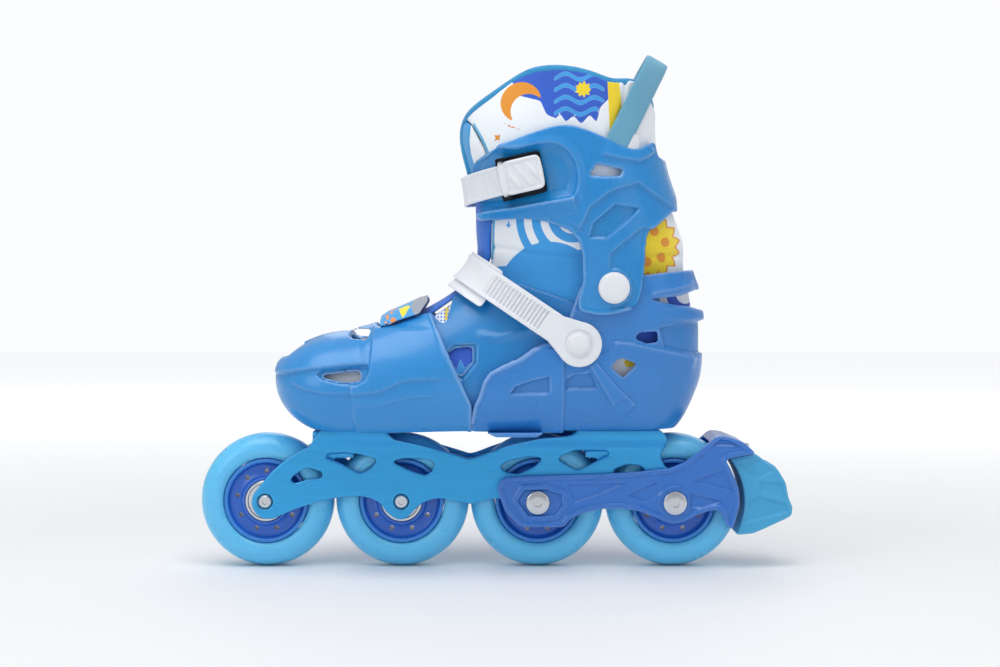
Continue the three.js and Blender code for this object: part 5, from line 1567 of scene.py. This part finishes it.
binding_paint = cloth_plain("cyan_binding", (40, 160, 220))
piping_paint = cloth_plain("light_piping", (96, 184, 232))
SKIN_TOP_Z = 258  # no higher, so that a line across the boot still meets its side
FRONT_EDGE = [(-13.2, 208), (-16.5, 214), (-18.6, 221), (-19.4, 228), (-18.6, 235)]
VOLUMES[COLLAR_SKIN] = boot_volume(COLLAR_SKIN)
collar_surface = surface_of(VOLUMES[COLLAR_SKIN])
halves = []
for side in (-1, 1):
    half_path = []
    for px, edge_z in spaced(FRONT_EDGE + COLLAR_TOP, 1.6):
        pz = edge_z - BINDING_INSET
        y = face_y(collar_surface, px, min(pz, SKIN_TOP_Z), side)
        tries = 0
        while y is None and tries < MOST_STEPS:
            px += INWARD_STEP if px < 30 else -INWARD_STEP
            y = face_y(collar_surface, px, min(pz, SKIN_TOP_Z), side)
            tries += 1
        if y is not None:
            half_path.append((px + DX - 1.5 * ramp(px, 6, -8), y, pz))
    halves.append(half_path)
binding = tube("collar_binding", eased(halves[0] + halves[1][::-1], 10), BINDING_R, binding_paint)
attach(binding, "cuff")

PIPING_EDGE = [(-9, 157.5), (-3.4, 166.5), (-2.9, 188), (-3.4, 214), (-7.6, 226), (-13.4, 236.6)]
liner_surface = surface_of(liner)
for side, label in ((-1, "outer"), (1, "inner")):
    path = []
    for ex, ez in spaced(PIPING_EDGE, 1.6):
        y = face_y(liner_surface, ex, ez, side)
        if y is not None:
            path.append((ex + DX, y - side * 0.3, ez))
    piping = tube(f"liner_piping_{label}", eased(path, 8), PIPING_R, piping_paint)
    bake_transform(piping)

# ------------------------------------------------------------------ insole
# A dark foam footbed covered in plain cloth, lying loose inside the liner. It is dished a little
# under the heel.
INSOLE_SKIN = -11.2
insole_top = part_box("insole")[1][2] / MM
insole_paint = cloth_plain("insole_cloth", (44, 62, 96), 600.0, 0.85, 0.4)
insole = rings_solid(boot_rings(INSOLE_SKIN), SOLE_Z - INSOLE_SKIN)
insole.name = "footbed"
boolean(insole, block(-300, 300, -150, 150, insole_top - 0.4, 400))
softened(insole, 1.1, 3)
points = corners_of(insole)
high_face = points[:, 2] > insole_top - 1.4
cup = 1.3 * np.exp(-(((points[:, 0] - 60) / 26) ** 2 + ((points[:, 1] - DY) / 15) ** 2))
points[:, 2] -= np.where(high_face, cup, 0)
put_corners(insole, points)
painted(insole, insole_paint)
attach(insole, "boot")
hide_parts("insole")

# ------------------------------------------------------------------ pull loop
# A band of teal webbing sewn to both sides of the collar at the back, for pulling the boot on,
# with a white plastic tab behind its foot.
LOOP_W, LOOP_T, LOOP_LIFT = 12.5, 1.4, 2.2
LOOP_FOOT, LOOP_HEAD = (64.6, 233), (84.8, 272.6)
loop_paint = cloth_plain("teal_webbing", (122, 208, 248), 1150.0, 0.8, 0.9)
VOLUMES[LOOP_LIFT] = boot_volume(LOOP_LIFT)
loop_surface = surface_of(VOLUMES[LOOP_LIFT])


# A band of even thickness, thinner towards its two long edges, through rows of points.
def band_solid(name, rows, thickness, paint):
    along = np.gradient(rows, axis=0)
    across = np.gradient(rows, axis=1)
    normal = np.cross(across, along)
    normal /= np.linalg.norm(normal, axis=2)[:, :, None] + 1e-9
    count, wide = rows.shape[:2]
    rim = np.sqrt(np.clip(1 - np.abs(np.linspace(-1, 1, wide)) ** 6, 0.12, 1))[None, :, None]
    top = (rows + normal * thickness / 2 * rim).reshape(-1, 3)
    under = (rows - normal * thickness / 2 * rim).reshape(-1, 3)
    points = np.vstack([top, under])
    half = count * wide
    faces = []
    for i in range(count - 1):
        for j in range(wide - 1):
            a = i * wide + j
            faces.append((a, a + 1, a + wide + 1, a + wide))
            faces.append((half + a, half + a + wide, half + a + wide + 1, half + a + 1))
        for j in (0, wide - 1):
            a = i * wide + j
            faces.append((a, a + wide, half + a + wide, half + a))
    for i in (0, count - 1):
        for j in range(wide - 1):
            a = i * wide + j
            faces.append((a, a + 1, half + a + 1, half + a))
    return piece_from(name, points, faces, paint)


rise_x, rise_z = LOOP_HEAD[0] - LOOP_FOOT[0], LOOP_HEAD[1] - LOOP_FOOT[1]
loop_long = math.hypot(rise_x, rise_z)
across_x, across_z = rise_z / loop_long * LOOP_W / 2, -rise_x / loop_long * LOOP_W / 2
LOOP_LINES = 13
LOOP_SIDE_Y = 12.0
# How high up the band's length, and what share of its width at the sides is left there.
LOOP_CROWN = [
    (0.76, 0.97), (0.82, 0.92), (0.87, 0.84), (0.915, 0.72), (0.95, 0.58), (0.975, 0.42), (0.99, 0.25),
    (1.0, 0.08),
]


# A point of the band at share t of its height, on the line that lies s across it.
def loop_point(t, s, side):
    px = LOOP_FOOT[0] + rise_x * t + s * across_x
    pz = LOOP_FOOT[1] + rise_z * t + s * across_z
    y = face_y(loop_surface, px, min(pz, SKIN_TOP_Z), side)
    return px + DX, (side * LOOP_SIDE_Y if y is None else y), pz


# One line of the band: up one side of the boot, over the top and down the other side.
def loop_line(s):
    near, far = [[loop_point(t, s, side) for t in np.linspace(-0.22, 0.7, 26)] for side in (-1, 1)]
    over, back = [], []
    for t, share in LOOP_CROWN:
        px, _, pz = loop_point(t, s, -1)
        over.append((px, DY + (near[-1][1] - DY) * share, pz))
        back.append((px, DY + (far[-1][1] - DY) * share, pz))
    return near + over + back[::-1] + far[::-1]


def resampled(line, count):
    shares = np.linspace(0, 1, len(line))
    return np.stack([np.interp(np.linspace(0, 1, count), shares, line[:, k]) for k in range(3)], axis=-1)


rows = eased(np.array([loop_line(s) for s in np.linspace(-1, 1, LOOP_LINES)]).transpose(1, 0, 2), 4)
steps = len(spaced(rows[:, 0], 0.8))
rows = eased(np.stack([resampled(rows[:, j], steps) for j in range(LOOP_LINES)], axis=1), 3)
loop = band_solid("pull_loop_band", rows, LOOP_T, loop_paint)
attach(loop, "cuff")
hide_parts("pull_loop")

TAB_IN, TAB_OUT = 0.6, 2.6
TAB_OUTLINE = [(59, 221), (60, 227.5), (65.5, 228.6), (66, 231), (72.4, 230.2), (73.2, 221)]
tab = layer("loop_tab", TAB_IN, TAB_OUT, TAB_OUTLINE, round_mm=0.6)
painted(tab, white_paint)
softened(tab, 0.3, 1)
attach(tab, "cuff")

# ------------------------------------------------------------------ toe strap
# A short printed band of hook-and-loop tape across the instep, which pulls the toe shell snug;
# its turned-back end shows the grey underside.
TOE_STRAP_OUTLINE = [(-64.2, 145), (-63.6, 129.9), (-42.6, 136.8), (-38.2, 143.6), (-42, 155)]
TOE_STRAP_IN, TOE_STRAP_OUT = 0.6, 2.6
TOE_STRAP_STITCH = [(-62, 131.6), (-43.4, 137.8)]
TRIANGLE = [(-54.5, 139.8), (-47, 140.2), (-51.4, 134.6)]
TURNED_END = [(-46, 150), (-46.8, 138.8), (-44.6, 136), (-36, 136), (-36, 152)]
# Spots as x, z and radius where the strap lies against a side, and x, y and radius over the top.
SIDE_SPOTS = [
    (-59.6, 134.4, 0.9), (-56.4, 133.2, 1.5), (-57.6, 136.6, 0.8), (-60.4, 132.2, 0.6), (-61.4, 136, 0.7),
]
TOP_SPOTS = [(-57, -7, 2.0), (-50, -4, 1.3), (-58, 3, 1.5), (-51, 7, 2.2), (-59, 9, 1.0)]
TOP_HALF_Y = 11
STRAP_INKS = [("ink_gold", (246, 224, 50)), ("ink_orange", (236, 140, 60)), ("ink_grey", (150, 158, 170))]
strap_print = printed_fabric("toe_strap_print", (64, 160, 222), STRAP_INKS)
toe_strap = layer("toe_strap_band", TOE_STRAP_IN, TOE_STRAP_OUT, TOE_STRAP_OUTLINE, round_mm=1.2)
painted(toe_strap, strap_print)
softened(toe_strap, 0.5, 3)
points, facing = corners_of(toe_strap), facing_of(toe_strap)
x, z = points[:, 0], points[:, 2]
y = points[:, 1] - DY
stitch = to_line(x, z, TOE_STRAP_STITCH)[0]
bulge = 0.9 * ramp(to_outline(x, z, TOE_STRAP_OUTLINE), -0.2, -4.5)
bulge -= 0.35 * np.exp(-(((stitch - 0.9) / 0.5) ** 2))
put_corners(toe_strap, points + facing * (bulge * outward_share(points, facing))[:, None])
triangle = most(to_outline(x, z, TRIANGLE), TOP_HALF_Y - np.abs(y))
side_spots = least(*[to_disc(x, z, *spot) for spot in SIDE_SPOTS])
top_spots = least(*[to_disc(x, y, *spot) for spot in TOP_SPOTS])
keep_distance(toe_strap, "ink_gold", triangle)
keep_distance(toe_strap, "ink_orange", np.where(np.abs(y) < TOP_HALF_Y, top_spots, side_spots))
keep_distance(toe_strap, "ink_grey", to_outline(x, z, TURNED_END))
keep_distance(toe_strap, "ink_dots", np.full(len(points), 5.0))
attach(toe_strap, "toe")
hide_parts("toe_strap")

# ------------------------------------------------------------------ straps
# Ratchet straps moulded in white plastic: a raised border each side of a channel of cross ribs,
# and a smooth round end where the ankle strap pivots on its rivet.
STRAP_W = 15.4
STRAP_CORNER = 1.2


# A strap's own directions: a runs along it from (x, z) and c across it. One function gives the
# side-view point for an a and a c, the other the a and c of each point.
def strap_frame(x, z, tx, tz):
    long = math.hypot(tx, tz)

    def place(a, c):
        return x + (a * tx - c * tz) / long, z + (a * tz + c * tx) / long

    def measure(px, pz):
        dx, dz = px - DX - x, pz - z
        return (dx * tx + dz * tz) / long, (dz * tx - dx * tz) / long

    return place, measure


def rect(at, a0, a1, c0, c1):
    return [at(a0, c0), at(a1, c0), at(a1, c1), at(a0, c1)]


# Cross ribs standing in a sunken channel, as a height below the strap's face.
def ribs(a, c, pitch, start, end, half_width, depth):
    channel = ramp(np.abs(c), half_width + 0.35, half_width - 0.35)
    channel *= ramp(a, start, start + 0.8) * ramp(a, end, end - 0.8)
    bar_share = ramp(np.abs(((a / pitch) % 1) - 0.5), 0.14, 0.3)
    return -depth * channel * (1 - 0.85 * bar_share)


ANKLE_IN, ANKLE_OUT = 2.2, 4.0
ANKLE_ALONG = (-55, 37)
EYE_SKIN, EYE_R, EYE_RING_R = 0.4, 11.8, 6.9
NECK_SIDE = [(0, 11.4), (6, 10.4), (14, 7.9)]
ankle_at, ankle_measure = strap_frame(rivet_x - DX, rivet_z, *ANKLE_ALONG)
near_half = rect(ankle_at, 0, 110, -STRAP_W / 2, STRAP_W / 2)
far_half = rect(ankle_at, 12, 110, -STRAP_W / 2, STRAP_W / 2)
ankle = layer("ankle_strap_band", ANKLE_IN, ANKLE_OUT, near_half, -WIDE, 1, STRAP_CORNER)
boolean(ankle, layer("far", ANKLE_IN, ANKLE_OUT, far_half, 0, WIDE, STRAP_CORNER), "UNION")
end_disc = layer("end", EYE_SKIN, ANKLE_OUT, None)
boolean(end_disc, drum(EYE_R, -WIDE, 0, rivet_x, rivet_z, 96), "INTERSECT")
neck_outline = [ankle_at(a, -c) for a, c in NECK_SIDE] + [ankle_at(a, c) for a, c in NECK_SIDE[::-1]]
neck = layer("neck", EYE_SKIN, ANKLE_OUT, None)
boolean(neck, slab("neck", neck_outline, -WIDE, 0), "INTERSECT")
boolean(neck, layer("under", EYE_SKIN - 0.1, ANKLE_IN, None))
boolean(ankle, end_disc, "UNION")
boolean(ankle, neck, "UNION")
boolean(ankle, drum(RIVET_BORE_R, -WIDE, 0, rivet_x, rivet_z))
painted(ankle, white_paint)
softened(ankle, 0.5, 2)


def ankle_heights(x, z, y):
    a, c = ankle_measure(x, z)
    h = np.where(y < 1, ribs(a, c, 2.15, 20.5, 57, 5.2, 1.0), ribs(a, c, 2.15, 26, 78, 5.2, 0.8))
    ring = np.exp(-(((np.hypot(a, c) - EYE_RING_R) / 0.55) ** 2))
    return h - 0.5 * ring * (y < 0)


embossed(ankle, ankle_heights)
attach(ankle, "boot")
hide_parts("ankle_strap")

# The shield is a thin plate under the ankle strap, which spreads its pull over the instep.
SHIELD_IN, SHIELD_OUT = 0.4, 1.9
shield_outline = rect(ankle_at, 53, 110, -9.5, 13)
shield = layer("instep_shield_plate", SHIELD_IN, SHIELD_OUT, shield_outline, round_mm=2.5)
painted(shield, white_paint)
softened(shield, 0.5, 2)
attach(shield, "boot")
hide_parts("instep_shield")
rivet_cap = domed_rivet("ankle_rivet_cap", "ankle_strap_rivet", rivet_x, rivet_z, -1, 5.7, 1.2, 3.0, 5.4)
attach(rivet_cap, "boot")
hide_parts("ankle_strap_rivet")

CUFF_STRAP_IN, CUFF_STRAP_OUT = 5.5, 7.5
cuff_at, cuff_measure = strap_frame(10.8, 208.2, -20, -4.2)
near_half = rect(cuff_at, -4, 60, -STRAP_W / 2, STRAP_W / 2)
far_half = rect(cuff_at, -11, 60, -STRAP_W / 2, STRAP_W / 2)
cuff_strap = layer("cuff_strap_band", CUFF_STRAP_IN, CUFF_STRAP_OUT, near_half, -WIDE, 1, STRAP_CORNER)
boolean(cuff_strap, layer("far", CUFF_STRAP_IN, CUFF_STRAP_OUT, far_half, 0, WIDE, STRAP_CORNER), "UNION")
boolean(cuff_strap, drum(RIVET_BORE_R, 0, WIDE, cuff_rivet_x, cuff_rivet_z))
painted(cuff_strap, white_paint)
softened(cuff_strap, 0.5, 2)


def cuff_strap_heights(x, z, y):
    a, c = cuff_measure(x, z)
    return np.where(y < 24, ribs(a, c, 1.75, 4.0, 70, 6.2, 0.45), 0)


embossed(cuff_strap, cuff_strap_heights)
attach(cuff_strap, "cuff")
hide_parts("cuff_strap")
strap_rivet = domed_rivet(
    "cuff_rivet_cap", "cuff_strap_rivet", cuff_rivet_x, cuff_rivet_z, 1, 5.0, 1.4, 3.0, 3.4, steel_paint
)
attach(strap_rivet, "cuff")
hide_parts("cuff_strap_rivet")

# ------------------------------------------------------------------ buckles
# Two ratchet buckles: a pressed dark steel base with an ear each side, and a domed white lever
# that swings on a pin between them. The lever's face has a plain raised border and three ribs.
LEVER_L, LEVER_W, LEVER_T, LEVER_LIFT = 22.0, 17.5, 2.4, 4.3
PLATE_IN, PLATE_OUT, PLATE_MARGIN = 0.3, 1.5, 2.2
EAR_IN, EAR_OUT, EAR_T = 0.8, LEVER_LIFT + 3.3, 1.8
PIN_FROM_END, PIN_REACH = 1.9, LEVER_W / 2 + 2.4
EAR_BORE_R, PIN_MIDDLE_R, PIN_END_R = 1.35, 1.5, 0.95
FACE_MIDDLE = -1.0  # of the lever's sunken face, along the strap
black_steel_paint = metal("blackened_steel", (34, 36, 42), rough=0.4)


# A round pin from one point to another.
def pin_between(name, p, q, r, paint):
    p, q = Vector(p), Vector(q)
    made = lathe(name, [(0.01, 0), (r, 0), (r, (q - p).length), (0.01, (q - p).length)], 0, 0, 0, paint, 32)
    turn = Vector((0, 1, 0)).rotation_difference((q - p).normalized()).to_matrix().to_4x4()
    made.data.transform(Matrix.Translation(p * MM) @ turn)
    return made


# The two ends of a lever's pin: the points of the joint's axis between the ears of the base.
def pin_ends(at, joint_name):
    joint = next(j for j in frame["joints"] if j["name"] == joint_name)
    pivot = Vector(joint["pos_m"]) / MM
    axis = Vector(joint["axis"]).normalized()
    ends = []
    for c in (-1, 1):
        ex, ez = at(LEVER_L / 2 - PIN_FROM_END, c * PIN_REACH)
        reach = ((ex + DX - pivot.x) * axis.x + (ez - pivot.z) * axis.z) / (axis.x**2 + axis.z**2)
        ends.append(pivot + axis * reach)
    return ends


# A buckle in a strap's own directions, on one side of the boot. Its base lies on the boot's
# surface grown by skin, and its lever turns about the joint named.
def buckle(name, at, measure, side, skin, joint_name, base_body, lever_body):
    y0, y1 = (-WIDE, 0) if side < 0 else (0, WIDE)
    half_w = LEVER_W / 2 + PLATE_MARGIN
    plate_outline = rect(at, -12, 11.6, -half_w, half_w)
    plate = layer(name + "_buckle_plate", skin + PLATE_IN, skin + PLATE_OUT, plate_outline, y0, y1, 2.2)
    for c in (-1, 1):
        low_c, high_c = sorted((c * (LEVER_W / 2 + 0.4), c * (LEVER_W / 2 + 0.4 + EAR_T)))
        ear_outline = rect(at, LEVER_L / 2 - 4.6, LEVER_L / 2 + 0.6, low_c, high_c)
        boolean(plate, layer("ear", skin + EAR_IN, skin + EAR_OUT, ear_outline, y0, y1, 0.8), "UNION")
    first, last = pin_ends(at, joint_name)
    way = (last - first).normalized()
    boolean(plate, pin_between("bore", first - way * 4, last + way * 4, EAR_BORE_R, None))
    painted(plate, black_steel_paint)
    softened(plate, 0.4, 1)
    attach(plate, base_body)
    cover_outline = rect(at, -LEVER_L / 2, LEVER_L / 2 - PIN_FROM_END, -LEVER_W / 2, LEVER_W / 2)
    cover_in = skin + LEVER_LIFT
    lever = layer(name + "_buckle_cover", cover_in, cover_in + LEVER_T, cover_outline, y0, y1, 3.0)
    for inset, r in ((2.4, PIN_MIDDLE_R), (0.3, PIN_END_R)):
        boolean(lever, pin_between("pin", first + way * inset, last - way * inset, r, None), "UNION")
    painted(lever, white_paint)
    softened(lever, 0.4, 3)

    def lever_heights(x, z, _):
        a, c = measure(x, z)
        a = a - FACE_MIDDLE
        h = -0.7 * ramp(most(np.abs(a) - 8.6, np.abs(c) - 7.2), 0.4, -0.4)
        for slant in (-4.2, 0.0, 4.2):
            rib = np.abs(a * 0.72 + c * 0.42 - slant) - 0.75
            h += 0.65 * ramp(most(rib, np.abs(a) - 7.2, np.abs(c) - 5.8), 0.35, -0.35)
        return h + 0.5 * (1 - (c / 9) ** 2)

    embossed(lever, lever_heights)
    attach(lever, lever_body)
    return plate, lever


ANKLE_BUCKLE_SKIN = 0.1
cuff_plate, cuff_lever = buckle(
    "cuff", cuff_at, cuff_measure, -1, CUFF_OUT, "cuff_buckle_open", "cuff", "cuff_lever"
)
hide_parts("cuff_buckle_base")
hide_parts("cuff_buckle_lever")
far_at, far_measure = strap_frame(*ankle_at(7, 0), *ANKLE_ALONG)
ankle_plate, ankle_lever = buckle(
    "ankle", far_at, far_measure, 1, ANKLE_BUCKLE_SKIN, "ankle_buckle_open", "boot", "ankle_lever"
)
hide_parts("ankle_buckle_base")
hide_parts("ankle_buckle_lever")

# ------------------------------------------------------------------ size button
# The catch that frees the toe shell: a soft-cornered slider under the sole, moulded in the heel
# shell's plastic, with finger ridges on its lower face.
GRIP_PITCH, GRIP_HIGH = 3.0, 0.45
GRIP_HALF_X, GRIP_MARGIN_Y = 11, 3
low, high = (np.array(corner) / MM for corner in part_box("size_button"))
foot = low[2] + 2 * GRIP_HIGH
wedge = [(low[0], high[2]), (low[0] + 5, foot), (high[0] - 4, foot), (high[0], high[2])]
button = slab("size_button_slider", wedge, low[1] - DY, high[1] - DY, heel_paint, move=False)
softened(button, 0.45, 5)
points, facing = corners_of(button), facing_of(button)
grip = np.sin((points[:, 0] - low[0]) * 2 * np.pi / GRIP_PITCH) * ramp(-facing[:, 2], 0.5, 0.9)
ridged = np.abs(points[:, 0] - (low[0] + high[0]) / 2) < GRIP_HALF_X
ridged &= (points[:, 1] > low[1] + GRIP_MARGIN_Y) & (points[:, 1] < high[1] - GRIP_MARGIN_Y)
points[:, 2] += np.where(ridged & (facing[:, 2] < -0.5), GRIP_HIGH * (1 + grip), 0)
put_corners(button, points)
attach(button, "size_button")
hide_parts("size_button")

# ------------------------------------------------------------------ helper volumes removed
for helper in VOLUMES.values():
    bpy.data.objects.remove(helper)
